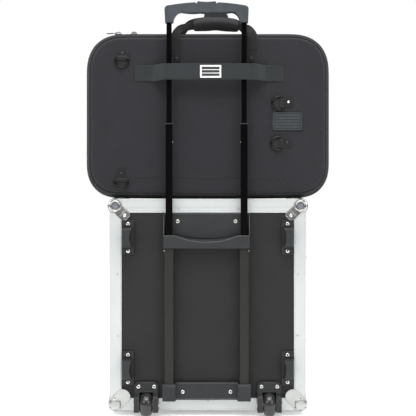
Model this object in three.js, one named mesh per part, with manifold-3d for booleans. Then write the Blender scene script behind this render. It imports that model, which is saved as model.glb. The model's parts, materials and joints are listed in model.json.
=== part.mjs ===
// Rolling laptop case: a wheeled flight case with a three-stage trolley handle on its back, and a
// moulded laptop case that hangs on the handle by a sleeve strap and stands on the flight case.
// Millimetres, +Z up. The trolley side faces -Y. X is 0 in the middle, Y is 0 on the outer face of
// the flight case's back panel and Z is 0 on the floor; the last lines move the origin to the
// middle of the footprint.
import * as THREE from "three";
import { mergeVertices } from "three/addons/utils/BufferGeometryUtils.js";
import Module from "manifold-3d";

const wasm = await Module();
wasm.setup();

// ---------------------------------------------------------------- driving dimensions
const GAP = 0.3; // between pieces that touch
const EASE = 0.6; // between pieces that slide past each other

// Flight case.
const CASE_HALF = 245; // half the width, over the aluminium
const CASE_BOTTOM = 15;
const CASE_TOP = 542;
const CASE_FRONT = 236;
const BOARD = 7; // plywood
const EDGE = 1.5; // aluminium angle thickness
const EDGE_LEG = 30;
const EDGE_LEG_TOP = 35; // the top edge has a wider leg on the back face
const SPLIT = 176; // plane where the lid meets the base
const FRAME_DEPTH = 24; // closing frame, along Y
const FRAME_WALL = 11;
const BOARD_HALF = CASE_HALF - EDGE - GAP;
const BOARD_BOTTOM = CASE_BOTTOM + EDGE + GAP;
const BOARD_TOP = CASE_TOP - EDGE - GAP;

// Ball corners: how far in the ball's middle is, the plate's rounding, and the skin's thickness.
// A style gives how much lower the ball sits, its lobes' half width, their reach on the upright
// faces and on the flat one, and the radius of the dimple in the ball.
const BALL_CORNER = { inset: 14, plate: 27, skin: 1.8 };
const BALL_STYLE = {
  top: { ball: 20.5, drop: 4, lobe: 14, reach: 44, flatReach: 38, recess: 8.5 },
  bottom: { ball: 19.5, drop: 0, lobe: 19, reach: 46, flatReach: 46, recess: 0 },
};

// Wheels, in corner housings, and what keeps the case level on its back.
const STANDOFF = 40; // wheels and skid feet reach this far behind the back panel
const WHEEL_R = 30;
const WHEEL_HALF = 15;
const WHEEL_X = 153;
const WHEEL_Y = WHEEL_R - STANDOFF;
const AXLE_R = 4;
const AXLE_EASE = 0.35; // radial clearance of a bore on the axle
const HOUSING_HALF = 30;
const HOUSING_BOTTOM = 12.5;
const HOUSING_TOP = 86.5;
const HOUSING_REAR = -28; // the side the wheel shows on
const HOUSING_DEEP = 27; // how far it reaches into the case
const WELL_HALF = 16.5;
const WELL_TOP = 60.5;
const WELL_BACK = 23;
const SKID = { x: 199, topZ: 445.5, bottomZ: 119, width: 31.2, length: 86, plate: 4 };
const FOOT = { x: 190, y: 128, radius: 17 };

// Trolley handle. Positions across it are from its own middle.
const TROLLEY_X = -3;
const TUBE_X = 93;
const TUBE_Y = -18;
const CHANNEL = { w: 22, d: 17, wall: 1.2, z0: 50.5, z1: 418.7 };
const MIDDLE = { w: 17, d: 12.6, wall: 1, z0: 332, z1: 726 };
const UPPER = { w: 13, d: 9, wall: 1, z0: 610, z1: 1000 };
const COLLAR = { w: 20.4, d: 15.6, height: 2.7 };
const GRIP = { half: 104, y0: -31, y1: -5, bottom: 978, end: 1018.5, crown: 1027.5, under: 1002 };
const BUTTON = { half: 23.5, y0: -28, y1: -8, bottom: 1014.5, top: 1030.5, dip: 2 };
const YOKE = { half: 95, y0: -20, y1: -16, z0: 1010, z1: 1014 };
const ROD = { radius: 2, bottom: 622 };
const POCKET = {
  half: 106.8, wall: 2, bottom: 419, floor: 450.4, sag: 15.5, wallTop: 499, plateTop: 506, front: -32,
};

// Laptop case.
const BAG_HALF = 307.5;
const BAG_BOTTOM = 542.5;
const BAG_TOP = 960;
const BAG_BACK = 3; // outer back face
const BAG_MID = 60; // zip line
const BAG_CORNER_TOP = 105;
const BAG_CORNER_BOTTOM = 88;
const BAG_CORNER_POWER = 2.5; // squareness of the rounded corners, 2 is a circle
const BAG_BOW = 3; // how far the bottom edge bows down
const SLEEVE = { z0: 835.5, z1: 875.5, x: 3.5, half: 185.5, patch: 40, flat: 118, y: -33.5, cloth: 2 };
const HANDLE = {
  x: 16, half: 96, anchor: 905, crownRear: 986, crownFront: 1001, lean: 44, width: 25, cloth: 2.4,
};
const WRAP = { reach: 0.16, radius: 14 }; // reach is a share of the handle's length
const SLIDER = { left: -228, right: -188, tilt: 0.06 };
const RING = { half: 19, reach: 26, wire: 5, y: -0.8 };
const RINGS = {
  d_ring_top_left: { x: -214, z: 893, turn: 0 },
  d_ring_bottom_left: { x: -216, z: 588, turn: 0 },
  d_ring_right_upper: { x: 184, z: 781, turn: -Math.PI / 2 },
  d_ring_right_lower: { x: 181, z: 680, turn: -Math.PI / 2 },
};

// ---------------------------------------------------------------- materials
const metal = (color, roughness) => new THREE.MeshStandardMaterial({ color, roughness, metalness: 1 });
const matt = (color, roughness) => new THREE.MeshStandardMaterial({ color, roughness, metalness: 0 });
const look = {
  laminate: matt(0x2b2b2d, 0.55),
  aluminium: metal(0xd9dcdd, 0.35),
  chrome: metal(0xc9cccf, 0.2),
  steel: metal(0xb4b6b8, 0.4),
  plastic: matt(0x2c2e30, 0.5),
  tube: metal(0x121214, 0.3),
  grip: matt(0x3a4043, 0.55),
  rubber: matt(0x1c1b1b, 0.7),
  tyre: matt(0x2e2b2b, 0.35),
  fabric: matt(0x303136, 0.85),
  webbing: matt(0x26282a, 0.9),
};

// ---------------------------------------------------------------- shapes
const V = (x, y, z) => new THREE.Vector3(x, y, z);
const shapeOf = (points) => new THREE.Shape(points.map(([a, b]) => new THREE.Vector2(a, b)));

function box(x0, x1, y0, y1, z0, z1) {
  const g = new THREE.BoxGeometry(x1 - x0, y1 - y0, z1 - z0);
  return g.translate((x0 + x1) / 2, (y0 + y1) / 2, (z0 + z1) / 2);
}

// An outline, as points or as a Shape, pushed along the named axis from a to b.
function extrude(outline, a, b, holes = []) {
  const shape = outline instanceof THREE.Shape ? outline : shapeOf(outline);
  shape.holes = holes.map(shapeOf);
  const g = new THREE.ExtrudeGeometry(shape, { depth: b - a, bevelEnabled: false, curveSegments: 10 });
  return g.translate(0, 0, a);
}
const alongZ = extrude; // outline in (x, y)
const alongX = (outline, a, b) => // outline in (y, z)
  extrude(outline, a, b).applyMatrix4(new THREE.Matrix4().makeBasis(V(0, 1, 0), V(0, 0, 1), V(1, 0, 0)));
const alongY = (outline, a, b, holes) => // outline in (x, z)
  extrude(outline, -b, -a, holes).rotateX(Math.PI / 2);

const rectangle = (w, d) => [[-w / 2, -d / 2], [w / 2, -d / 2], [w / 2, d / 2], [-w / 2, d / 2]];

// A closed skin over a chain of rings with equal point counts; the first and last are capped. The
// points go anticlockwise for someone the chain is coming towards.
function loft(rings) {
  const n = rings[0].length;
  const index = [];
  rings.slice(1).forEach((_, r) => {
    for (let i = 0; i < n; i++) {
      const a = r * n + i;
      const b = r * n + ((i + 1) % n);
      index.push(a, b, b + n, a, b + n, a + n);
    }
  });
  const centre = (ring) => ring.reduce((sum, p) => sum.add(p), V(0, 0, 0)).divideScalar(n);
  const points = [...rings.flat(), centre(rings[0]), centre(rings.at(-1))];
  const [first, last] = [points.length - 2, points.length - 1];
  const lastRing = (rings.length - 1) * n;
  for (let i = 0; i < n; i++) {
    const j = (i + 1) % n;
    index.push(first, j, i, last, lastRing + i, lastRing + j);
  }
  const g = new THREE.BufferGeometry().setFromPoints(points);
  g.setIndex(index);
  return g;
}

// ---------------------------------------------------------------- booleans
function solid(geometry) {
  const bare = geometry.clone();
  bare.deleteAttribute("normal");
  bare.deleteAttribute("uv");
  const merged = mergeVertices(bare, 1e-4);
  const vertProperties = merged.attributes.position.array;
  const triVerts = new Uint32Array(merged.index.array);
  return new wasm.Manifold(new wasm.Mesh({ numProp: 3, vertProperties, triVerts }));
}

function geometryOf(made) {
  const { vertProperties, triVerts } = made.getMesh();
  return new THREE.BufferGeometry()
    .setAttribute("position", new THREE.BufferAttribute(vertProperties, 3))
    .setIndex(new THREE.BufferAttribute(triVerts, 1));
}

const join = (...geometries) => geometryOf(geometries.map(solid).reduce((a, b) => a.add(b)));
const cut = (geometry, ...tools) =>
  geometryOf(tools.reduce((made, tool) => made.subtract(solid(tool)), solid(geometry)));

// ---------------------------------------------------------------- scene
const model = new THREE.Group();

function place(parent, name, geometry, material) {
  const mesh = new THREE.Mesh(geometry, material);
  mesh.name = name;
  parent.add(mesh);
  return mesh;
}

const SIDES = [["left", -1], ["right", 1]];
const LEVELS = [["top", 1], ["bottom", -1]];

// ---------------------------------------------------------------- flight case, base half
const wheelNotch = (side, grow) => box(
  side * WHEEL_X - HOUSING_HALF - grow, side * WHEEL_X + HOUSING_HALF + grow,
  -5, HOUSING_DEEP + grow, 0, WELL_TOP + 4 + grow);

function buildBoards(group) {
  const frameStart = SPLIT - FRAME_DEPTH - GAP;
  const back = box(-BOARD_HALF, BOARD_HALF, 0, BOARD, BOARD_BOTTOM, BOARD_TOP);
  const notches = SIDES.map(([, side]) => wheelNotch(side, EASE));
  place(group, "back_panel", cut(back, ...notches), look.laminate);
  const front = BOARD + GAP;
  for (const [name, side] of SIDES) {
    const [x0, x1] = [side * BOARD_HALF, side * (BOARD_HALF - BOARD)].sort((a, b) => a - b);
    place(group, `${name}_board`, box(x0, x1, front, frameStart, BOARD_BOTTOM, BOARD_TOP), look.laminate);
  }
  const half = BOARD_HALF - BOARD - GAP;
  const top = box(-half, half, front, frameStart, BOARD_TOP - BOARD, BOARD_TOP);
  place(group, "top_board", top, look.laminate);
  const bottom = box(-half, half, front, frameStart, BOARD_BOTTOM, BOARD_BOTTOM + BOARD);
  place(group, "bottom_board", cut(bottom, ...notches), look.laminate);
}

// An aluminium angle has one leg on the back face and one that wraps round the side.
function buildEdges(group) {
  const y0 = -EDGE - GAP;
  const y1 = y0 + EDGE_LEG;
  for (const [name, side] of SIDES) {
    const outer = side * CASE_HALF;
    const onBack = [outer, outer - side * EDGE_LEG].sort((a, b) => a - b);
    const onSide = [outer, outer - side * EDGE].sort((a, b) => a - b);
    const stub = [outer, side * (WHEEL_X + HOUSING_HALF + GAP)].sort((a, b) => a - b);
    const angle = join(
      box(...onBack, y0, -GAP, CASE_BOTTOM, CASE_TOP),
      box(...onSide, y0, y1, CASE_BOTTOM, CASE_TOP),
      box(...stub, y0, -GAP, CASE_BOTTOM, CASE_BOTTOM + EDGE_LEG),
      box(...stub, y0, y1, CASE_BOTTOM, CASE_BOTTOM + EDGE));
    place(group, `back_edge_${name}`, angle, look.aluminium);
  }
  const half = CASE_HALF - EDGE_LEG - GAP;
  const top = join(
    box(-half, half, y0, -GAP, CASE_TOP - EDGE_LEG_TOP, CASE_TOP),
    box(-half, half, y0, y1, CASE_TOP - EDGE, CASE_TOP));
  place(group, "back_edge_top", top, look.aluminium);
  const inner = WHEEL_X - HOUSING_HALF - GAP;
  const bottom = join(
    box(-inner, inner, y0, -GAP, CASE_BOTTOM, CASE_BOTTOM + EDGE_LEG),
    box(-inner, inner, y0, y1, CASE_BOTTOM, CASE_BOTTOM + EDGE));
  place(group, "back_edge_bottom", bottom, look.aluminium);
}

const frameOutline = (wall) => [
  [-CASE_HALF + wall, CASE_BOTTOM + wall], [CASE_HALF - wall, CASE_BOTTOM + wall],
  [CASE_HALF - wall, CASE_TOP - wall], [-CASE_HALF + wall, CASE_TOP - wall]];

const closingFrame = (y0, y1) => alongY(frameOutline(0), y0, y1, [frameOutline(FRAME_WALL)]);

// A pressed ball corner: a rounded corner plate, a ball that stands out of it, and on each of the
// three faces a lobe towards the middle of the face. The whole is hollowed to sit over the edges.
function ballCorner(side, level, { ball, drop, lobe, reach, flatReach, recess }) {
  const { inset, plate, skin } = BALL_CORNER;
  const back = -EDGE - GAP;
  const edgeZ = level > 0 ? CASE_TOP : CASE_BOTTOM;
  const centre = V(side * (CASE_HALF - inset), back + inset, edgeZ - level * (inset + drop));
  const outer = V(side * (CASE_HALF + skin), back - skin, edgeZ + level * skin);
  const inward = V(-side, 1, -level);
  const spanned = (corner, size) => [0, 1, 2].flatMap((axis) => {
    const start = corner.getComponent(axis);
    return [start, start + inward.getComponent(axis) * size].sort((a, b) => a - b);
  });
  const sphere = (radius) => new THREE.SphereGeometry(radius, 32, 20).translate(...centre);
  const cap = solid(box(...spanned(outer, 2 * inset))).intersect(solid(sphere(plate)));
  const lobeOn = (axis) => {
    const normal = V(0, 0, 0).setComponent(axis, 1);
    const plane = outer.getComponent(axis) + (inward.getComponent(axis) * skin) / 2;
    const start = centre.clone().setComponent(axis, plane);
    const along = inward.clone().setComponent(axis, 0).normalize();
    const length = (axis === 2 ? flatReach : reach) - lobe;
    const end = start.clone().addScaledVector(along, length);
    const turn = new THREE.Matrix4().makeBasis(along, normal, along.clone().cross(normal));
    const disc = new THREE.CylinderGeometry(lobe, lobe, skin, 24);
    const bar = new THREE.BoxGeometry(length, skin, 2 * lobe);
    return [
      disc.applyMatrix4(turn).translate(...end),
      bar.applyMatrix4(turn).translate(...start.add(end).divideScalar(2))];
  };
  const body = join(geometryOf(cap), sphere(ball), ...[0, 1, 2].flatMap(lobeOn));
  const hollow = box(...spanned(outer.addScaledVector(inward, skin - GAP), 2 * reach));
  const dimple = new THREE.CylinderGeometry(recess, recess, 8, 24).translate(
    centre.x, back - ball + inset, centre.z);
  return recess ? cut(body, hollow, dimple) : cut(body, hollow);
}

function buildWheelHousing(group, name, side) {
  const seat = -EDGE - 2 * GAP;
  const profile = [
    [seat, HOUSING_TOP], [-7, HOUSING_TOP], [-9, 56], [-24, 51], [HOUSING_REAR, 47], [HOUSING_REAR, 13],
    [-25, HOUSING_BOTTOM], [HOUSING_DEEP, HOUSING_BOTTOM], [HOUSING_DEEP, WELL_TOP + 4],
    [seat, WELL_TOP + 4]];
  const shell = alongX(profile, -HOUSING_HALF, HOUSING_HALF);
  const well = box(-WELL_HALF, WELL_HALF, HOUSING_REAR - 9, WELL_BACK, 0, WELL_TOP);
  const bore = new THREE.CylinderGeometry(AXLE_R + AXLE_EASE, AXLE_R + AXLE_EASE, 80, 24)
    .rotateZ(Math.PI / 2).translate(0, WHEEL_Y, WHEEL_R);
  const bevels = [-1, 1].map((s) => {
    const [x0, x1] = [s * (HOUSING_HALF - 10), s * (HOUSING_HALF + 1)];
    return alongY([[x0, HOUSING_TOP + 1], [x1, HOUSING_TOP + 1], [x1, HOUSING_TOP - 9]], -12, 0);
  });
  const housing = place(group, `wheel_housing_${name}`, cut(shell, well, bore, ...bevels), look.plastic);
  housing.position.x = side * WHEEL_X;
  const axle = new THREE.CylinderGeometry(AXLE_R, AXLE_R, 2 * HOUSING_HALF - 4, 16).rotateZ(Math.PI / 2);
  place(group, `wheel_axle_${name}`, axle, look.steel).position.set(side * WHEEL_X, WHEEL_Y, WHEEL_R);
}

function wheelGeometry() {
  const flank = 18; // radius where the rounded tread starts
  const steps = 8;
  const profile = [[AXLE_R + AXLE_EASE, -WHEEL_HALF + 1], [flank - 3, -WHEEL_HALF + 1]];
  for (let i = 0; i <= steps; i++) {
    const a = Math.PI * (i / steps - 0.5);
    profile.push([flank + (WHEEL_R - flank) * Math.cos(a), WHEEL_HALF * Math.sin(a)]);
  }
  profile.push([flank - 3, WHEEL_HALF - 1], [AXLE_R + AXLE_EASE, WHEEL_HALF - 1]);
  profile.push(profile[0]);
  const points = profile.map(([r, h]) => new THREE.Vector2(r, h));
  return new THREE.LatheGeometry(points, 32).rotateZ(-Math.PI / 2);
}

// A skid foot is a screwed plate with a tapering block that the case rests on when it lies down.
function skidFoot() {
  const { width, length, plate } = SKID;
  const slice = (y, w, l) => rectangle(w, l).map(([x, z]) => V(x, y, z));
  const block = loft([
    slice(-GAP - plate / 2, 27, 50), slice(-STANDOFF + 3, 22, 43), slice(-STANDOFF, 18, 38)]);
  return join(box(-width / 2, width / 2, -GAP - plate, -GAP, -length / 2, length / 2), block);
}

function buildFlightCase() {
  const group = new THREE.Group();
  buildBoards(group);
  buildEdges(group);
  place(group, "base_closing_frame", closingFrame(SPLIT - FRAME_DEPTH, SPLIT - GAP), look.aluminium);
  for (const [level, up] of LEVELS)
    for (const [name, side] of SIDES) {
      place(group, `ball_corner_${level}_${name}`, ballCorner(side, up, BALL_STYLE[level]), look.chrome);
      const foot = place(group, `skid_foot_${level}_${name}`, skidFoot(), look.plastic);
      foot.position.set(side * SKID.x, 0, up > 0 ? SKID.topZ : SKID.bottomZ);
    }
  for (const [name, side] of SIDES) {
    buildWheelHousing(group, name, side);
    const height = BOARD_BOTTOM - GAP;
    const foot = new THREE.CylinderGeometry(FOOT.radius + 2, FOOT.radius, height, 24).rotateX(Math.PI / 2);
    place(group, `base_foot_${name}`, foot, look.rubber)
      .position.set(side * FOOT.x, FOOT.y, height / 2);
    const wheel = place(model, `wheel_${name}`, wheelGeometry(), look.tyre);
    wheel.position.set(side * WHEEL_X, WHEEL_Y, WHEEL_R);
  }
  return group;
}

// ---------------------------------------------------------------- lid, its hinge and latches
const HINGE = { x: -CASE_HALF - 4.5, radius: 3.5, z0: 98.5, knuckle: 72, count: 5 };

// The leaf that carries every other knuckle, starting with the first or the second.
function hingeLeaf(first, y0, y1) {
  const leafX = [-CASE_HALF - 1.8, -CASE_HALF - GAP];
  const z1 = HINGE.z0 + HINGE.knuckle * HINGE.count;
  const reach = [Math.min(y0, SPLIT), Math.max(y1, SPLIT)];
  const parts = [box(...leafX, y0, y1, HINGE.z0, z1)];
  for (let k = first; k < HINGE.count; k += 2) {
    const a = HINGE.z0 + k * HINGE.knuckle + GAP;
    const b = a + HINGE.knuckle - 2 * GAP;
    parts.push(new THREE.CylinderGeometry(HINGE.radius, HINGE.radius, b - a, 12)
      .rotateX(Math.PI / 2).translate(HINGE.x, SPLIT, (a + b) / 2));
    parts.push(box(HINGE.x, leafX[1], ...(first ? [SPLIT + 0.5, reach[1]] : [reach[0], SPLIT - 0.5]), a, b));
  }
  return join(...parts);
}

const LATCH = { y: 140, z: [170, 390], half: 26, plate: 3, knob: 17 };

function buildLatch(group, name, z) {
  const x = CASE_HALF + GAP;
  const plate = box(x, x + LATCH.plate, LATCH.y - LATCH.half, SPLIT - 4, z - LATCH.half, z + LATCH.half);
  place(group, `latch_plate_${name}`, plate, look.steel);
  const hub = new THREE.CylinderGeometry(LATCH.knob, LATCH.knob, 2.5, 24).rotateZ(Math.PI / 2);
  const wing = box(0, 8, -LATCH.knob + 2, LATCH.knob - 2, -2, 2);
  const handle = place(model, `latch_handle_${name}`, join(hub, wing), look.steel);
  handle.position.set(x + LATCH.plate + GAP + 1.25, LATCH.y, z);
}

function buildLid(base) {
  const group = new THREE.Group();
  place(group, "lid_closing_frame", closingFrame(SPLIT + GAP, SPLIT + FRAME_DEPTH), look.aluminium);
  const start = SPLIT + FRAME_DEPTH + GAP;
  const shell = box(-BOARD_HALF, BOARD_HALF, start, CASE_FRONT, BOARD_BOTTOM, BOARD_TOP);
  const inner = BOARD_HALF - BOARD;
  const hollow = box(
    -inner, inner, start - 1, CASE_FRONT - BOARD, BOARD_BOTTOM + BOARD, BOARD_TOP - BOARD);
  place(group, "lid_shell", cut(shell, hollow), look.laminate);
  place(base, "hinge_leaf_base", hingeLeaf(0, SPLIT - 18, SPLIT - 4.5), look.steel);
  place(group, "hinge_leaf_lid", hingeLeaf(1, SPLIT + 4.5, SPLIT + 18), look.steel);
  LATCH.z.forEach((z, i) => buildLatch(base, i ? "upper" : "lower", z));
  return group;
}

// ---------------------------------------------------------------- trolley handle
const tube = ({ w, d, wall, z0, z1 }, x) => {
  const at = (points) => points.map(([a, b]) => [a + x, b + TUBE_Y]);
  return alongZ(at(rectangle(w, d)), z0, z1, [at(rectangle(w - 2 * wall, d - 2 * wall))]);
};
const tubeHole = (w, d, x, z0, z1) =>
  box(x - w / 2, x + w / 2, TUBE_Y - d / 2, TUBE_Y + d / 2, z0, z1);

// The pocket that the grip drops into when the handle is down.
function topBracket() {
  const { half, wall, bottom, floor, sag, wallTop, plateTop, front } = POCKET;
  const hollow = [
    [78, 0], [66, 0.28], [42, 0.75], [20, 0.95], [0, 1], [-20, 0.95], [-42, 0.75], [-66, 0.28], [-78, 0]];
  const lip = [
    [-half, bottom], [half, bottom], [half, floor],
    ...hollow.map(([x, share]) => [x, floor - sag * share]), [-half, floor]];
  const bar = alongY(lip, front, -GAP);
  const plate = box(-half, half, -4, -GAP, bottom, plateTop);
  const side = (s) => {
    const profile = [
      [front, floor - 5], [-GAP, floor - 5], [-GAP, wallTop + 4], [-18, wallTop], [front, floor + 6]];
    const [x0, x1] = [s * half, s * (half - wall)].sort((a, b) => a - b);
    return alongX(profile, x0, x1);
  };
  const holes = [-TUBE_X, TUBE_X].map((x) =>
    tubeHole(MIDDLE.w + 2 * EASE, MIDDLE.d + 2 * EASE, x, bottom - 1, floor + 1));
  return cut(join(bar, plate, side(-1), side(1)), ...holes);
}

function bottomBracket() {
  const cross = box(-80, 80, -12, -EDGE - 2 * GAP, 42, 86);
  const block = (x) => box(x - 16.5, x + 16.5, -30, -EDGE - 2 * GAP, 41, 84);
  const holes = [-TUBE_X, TUBE_X].map((x) => tubeHole(
    CHANNEL.w + 2 * GAP, CHANNEL.d + 2 * GAP, x, CHANNEL.z0 - GAP, 90));
  return cut(join(cross, block(-TUBE_X), block(TUBE_X)), ...holes);
}

function gripOutline() {
  const { half, bottom, end, crown, under } = GRIP;
  const shape = new THREE.Shape();
  shape.moveTo(-half + 1.5, bottom);
  shape.lineTo(-83, bottom);
  shape.bezierCurveTo(-81, bottom + 14, -74, under + 3, -60, under + 2);
  shape.bezierCurveTo(-45, under - 1, -30, under - 1, -15, under + 1);
  shape.bezierCurveTo(-5, under - 1, 5, under - 1, 15, under + 1);
  shape.bezierCurveTo(30, under - 1, 45, under - 1, 60, under + 2);
  shape.bezierCurveTo(74, under + 3, 81, bottom + 14, 83, bottom);
  shape.lineTo(half - 1.5, bottom);
  shape.lineTo(half, end - 10);
  shape.quadraticCurveTo(half, end, half - 11, end + 1);
  shape.quadraticCurveTo(0, 2 * crown - end - 1, -half + 11, end + 1);
  shape.quadraticCurveTo(-half, end, -half, end - 10);
  return shape;
}

// The grip's two halves meet on the plane of the tubes and hold the release linkage between them.
function buildGrip(group) {
  const { y0, y1, bottom, crown } = GRIP;
  const cavities = [
    box(-YOKE.half - 2, YOKE.half + 2, YOKE.y0 - 2, YOKE.y1 + 2, YOKE.z0 - 5.5, YOKE.z1 + 2),
    box(-BUTTON.half - EASE, BUTTON.half + EASE, BUTTON.y0 - EASE, BUTTON.y1 + EASE,
      YOKE.z0 - 2, crown + 9),
    ...[-TUBE_X, TUBE_X].map((x) =>
      tubeHole(UPPER.w + 2 * GAP, UPPER.d + 2 * GAP, x, bottom - 1, YOKE.z0))];
  const dip = box(-BUTTON.half - 4, BUTTON.half + 4, y0 - 1, y1 + 1, crown - 3, crown + 9);
  const halves = { grip_rear_half: [y0, TUBE_Y - GAP / 2], grip_front_half: [TUBE_Y + GAP / 2, y1] };
  for (const [name, [a, b]] of Object.entries(halves))
    place(group, name, cut(alongY(gripOutline(), a, b), ...cavities, dip), look.grip);
}

function releaseButton() {
  const { half, y0, y1, bottom, top, dip } = BUTTON;
  const outline = [
    [-half, bottom], [half, bottom], [half, top - 2.5], [half - 3, top], [half - 8, top - dip * 0.6],
    [0, top - dip], [-half + 8, top - dip * 0.6], [-half + 3, top], [-half, top - 2.5]];
  return alongY(outline, y0, y1);
}

function releaseLinkage() {
  const bar = box(-YOKE.half, YOKE.half, YOKE.y0, YOKE.y1, YOKE.z0, YOKE.z1);
  const length = YOKE.z1 - 1 - ROD.bottom;
  const rod = (x) => new THREE.CylinderGeometry(ROD.radius, ROD.radius, length, 8)
    .rotateX(Math.PI / 2).translate(x, TUBE_Y, ROD.bottom + length / 2);
  return join(bar, rod(-TUBE_X), rod(TUBE_X));
}

function buildTrolley() {
  const group = new THREE.Group();
  place(group, "trolley_top_bracket", topBracket(), look.plastic);
  place(group, "trolley_bottom_bracket", bottomBracket(), look.plastic);
  for (const [name, side] of SIDES) {
    const x = side * TUBE_X;
    place(group, `trolley_channel_${name}`, tube(CHANNEL, x), look.tube);
    place(group, `middle_tube_${name}`, tube(MIDDLE, x), look.tube);
    place(group, `upper_tube_${name}`, tube(UPPER, x), look.tube);
    const z0 = MIDDLE.z1 + GAP;
    const flange = tubeHole(COLLAR.w, COLLAR.d, x, z0, z0 + COLLAR.height);
    const bore = tubeHole(UPPER.w + 2 * EASE, UPPER.d + 2 * EASE, x, z0 - 1, z0 + 9);
    place(group, `stage_collar_${name}`, cut(flange, bore), look.plastic);
  }
  buildGrip(group);
  place(group, "release_button", releaseButton(), look.grip);
  place(group, "release_linkage", releaseLinkage(), look.steel);
  group.position.x = TROLLEY_X;
  return group;
}

// ---------------------------------------------------------------- laptop case
const CORNER_STEPS = 9;

// The case's outline in (x, z), brought in by inset on all sides, anticlockwise seen from -Y.
function bagOutline(inset) {
  const half = BAG_HALF - inset;
  const points = [];
  const corner = (sx, sz, radius) => {
    const r = radius - inset;
    const cx = sx * (half - r);
    const cz = sz > 0 ? BAG_TOP - inset - r : BAG_BOTTOM + inset + r;
    const clockwise = sx * sz < 0;
    for (let i = 0; i <= CORNER_STEPS; i++) {
      const t = (Math.PI / 2) * ((clockwise ? CORNER_STEPS - i : i) / CORNER_STEPS);
      const power = 2 / BAG_CORNER_POWER;
      points.push([cx + sx * r * Math.cos(t) ** power, cz + sz * r * Math.sin(t) ** power]);
    }
  };
  corner(1, 1, BAG_CORNER_TOP);
  corner(-1, 1, BAG_CORNER_TOP);
  corner(-1, -1, BAG_CORNER_BOTTOM);
  for (const share of [-0.4, 0, 0.4]) points.push([share * half, BAG_BOTTOM + inset]);
  corner(1, -1, BAG_CORNER_BOTTOM);
  const middle = (BAG_TOP + BAG_BOTTOM) / 2;
  return points.map(([x, z]) => [x, z < middle ? z + BAG_BOW * (x / half) ** 2 : z]);
}

// One half of the moulded shell: a tray with a rounded edge, open at the zip line.
function bagShell() {
  const rim = BAG_MID - GAP;
  const inner = [[7, 26], [8.5, 18], [13, 11], [24, 7], [rim, 4]];
  const outer = [[rim, 0], [22, 3], [14, 5.5], [8, 10], [4.5, 15], [BAG_BACK, 21]];
  const rings = [...inner, ...outer].map(([y, inset]) => bagOutline(inset).map(([x, z]) => V(x, y, z)));
  return loft(rings);
}

// The trolley sleeve strap is sewn down at both ends and stands off the case in between.
function sleeveStrap() {
  const { x, half, patch, flat, y, cloth, z0, z1 } = SLEEVE;
  const seat = BAG_BACK - GAP;
  const side = (s) => [
    [x + s * half, seat], [x + s * half, seat - cloth], [x + s * (half - patch), seat - cloth],
    [x + s * (flat + 1), y - cloth]];
  const under = (s) => [[x + s * flat, y], [x + s * (half - patch), seat]];
  return alongZ([...side(-1), ...side(1).reverse(), ...under(1).reverse(), ...under(-1)], z0, z1);
}

// The carry handle's line, from one sewn end over the top of the case to the other.
function handleCurve(crown) {
  const { x, half, anchor, lean } = HANDLE;
  const seat = BAG_BACK - GAP - HANDLE.cloth / 2;
  const leg = [
    [half, seat, anchor], [half, seat, anchor + 22], [half, seat - 1, BAG_TOP - 16],
    [half - 2, seat + 4, BAG_TOP - 2], [half - 12, 22, BAG_TOP + 11], [half - 34, lean - 8, crown - 8],
    [half - 64, lean, crown - 2]];
  const points = [...leg, [0, lean, crown], ...leg.map(([a, b, c]) => [-a, b, c]).reverse()];
  return new THREE.CatmullRomCurve3(points.map(([a, b, c]) => V(x + a, b, c)), false, "centripetal");
}

// A flat band along a curve. Its width lies across the curve in the plane of the case's back.
function band(curve, steps, from, to, width, thick) {
  const rings = [];
  for (let i = 0; i <= steps; i++) {
    const t = from + ((to - from) * i) / steps;
    const p = curve.getPointAt(t);
    const along = curve.getTangentAt(t);
    const across = V(0, 1, 0).cross(along).normalize();
    const out = along.clone().cross(across);
    rings.push([[-1, -1], [1, -1], [1, 1], [-1, 1]].map(([a, b]) => p.clone()
      .addScaledVector(across, (a * width) / 2).addScaledVector(out, (b * thick) / 2)));
  }
  return loft(rings);
}

// The padded grip that closes round the rear handle's webbing.
function handleWrap(curve) {
  const rings = [];
  const steps = 8;
  const sides = 12;
  for (let i = 0; i <= steps; i++) {
    const s = (2 * i) / steps - 1;
    const p = curve.getPointAt(0.5 - s * WRAP.reach);
    const swell = 0.8 + 0.2 * Math.sqrt(1 - 0.9 * s * s);
    rings.push(Array.from({ length: sides }, (_, k) => {
      const a = (2 * Math.PI * k) / sides;
      return V(p.x, p.y + WRAP.radius * swell * Math.cos(a), p.z + WRAP.radius * swell * Math.sin(a));
    }));
  }
  return cut(loft(rings), band(curve, 40, 0.3, 0.7, HANDLE.width + 0.8, HANDLE.cloth + 0.8));
}

// A D-ring: its straight bar is at the top and its bow hangs below.
function dRing() {
  const { half, reach, wire } = RING;
  const outline = (grow) => {
    const points = [[-half + grow, wire / 2 - grow], [-half + grow, -4]];
    for (let i = 1; i < 12; i++) {
      const a = (Math.PI * i) / 12;
      points.push([-(half - grow) * Math.cos(a), -4 - (reach - 4 - grow) * Math.sin(a)]);
    }
    return [...points, [half - grow, -4], [half - grow, wire / 2 - grow]];
  };
  return alongY(outline(0), -wire / 2, wire / 2, [outline(wire)]);
}

function zipSlider() {
  const body = box(-9, 9, -6, 6, 0.8, 5);
  const bridge = box(-6, 6, -2, 2, 4, 8.5);
  const pull = box(-30, -5, -4, 4, 5.5, 8);
  return join(body, bridge, pull);
}

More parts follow.
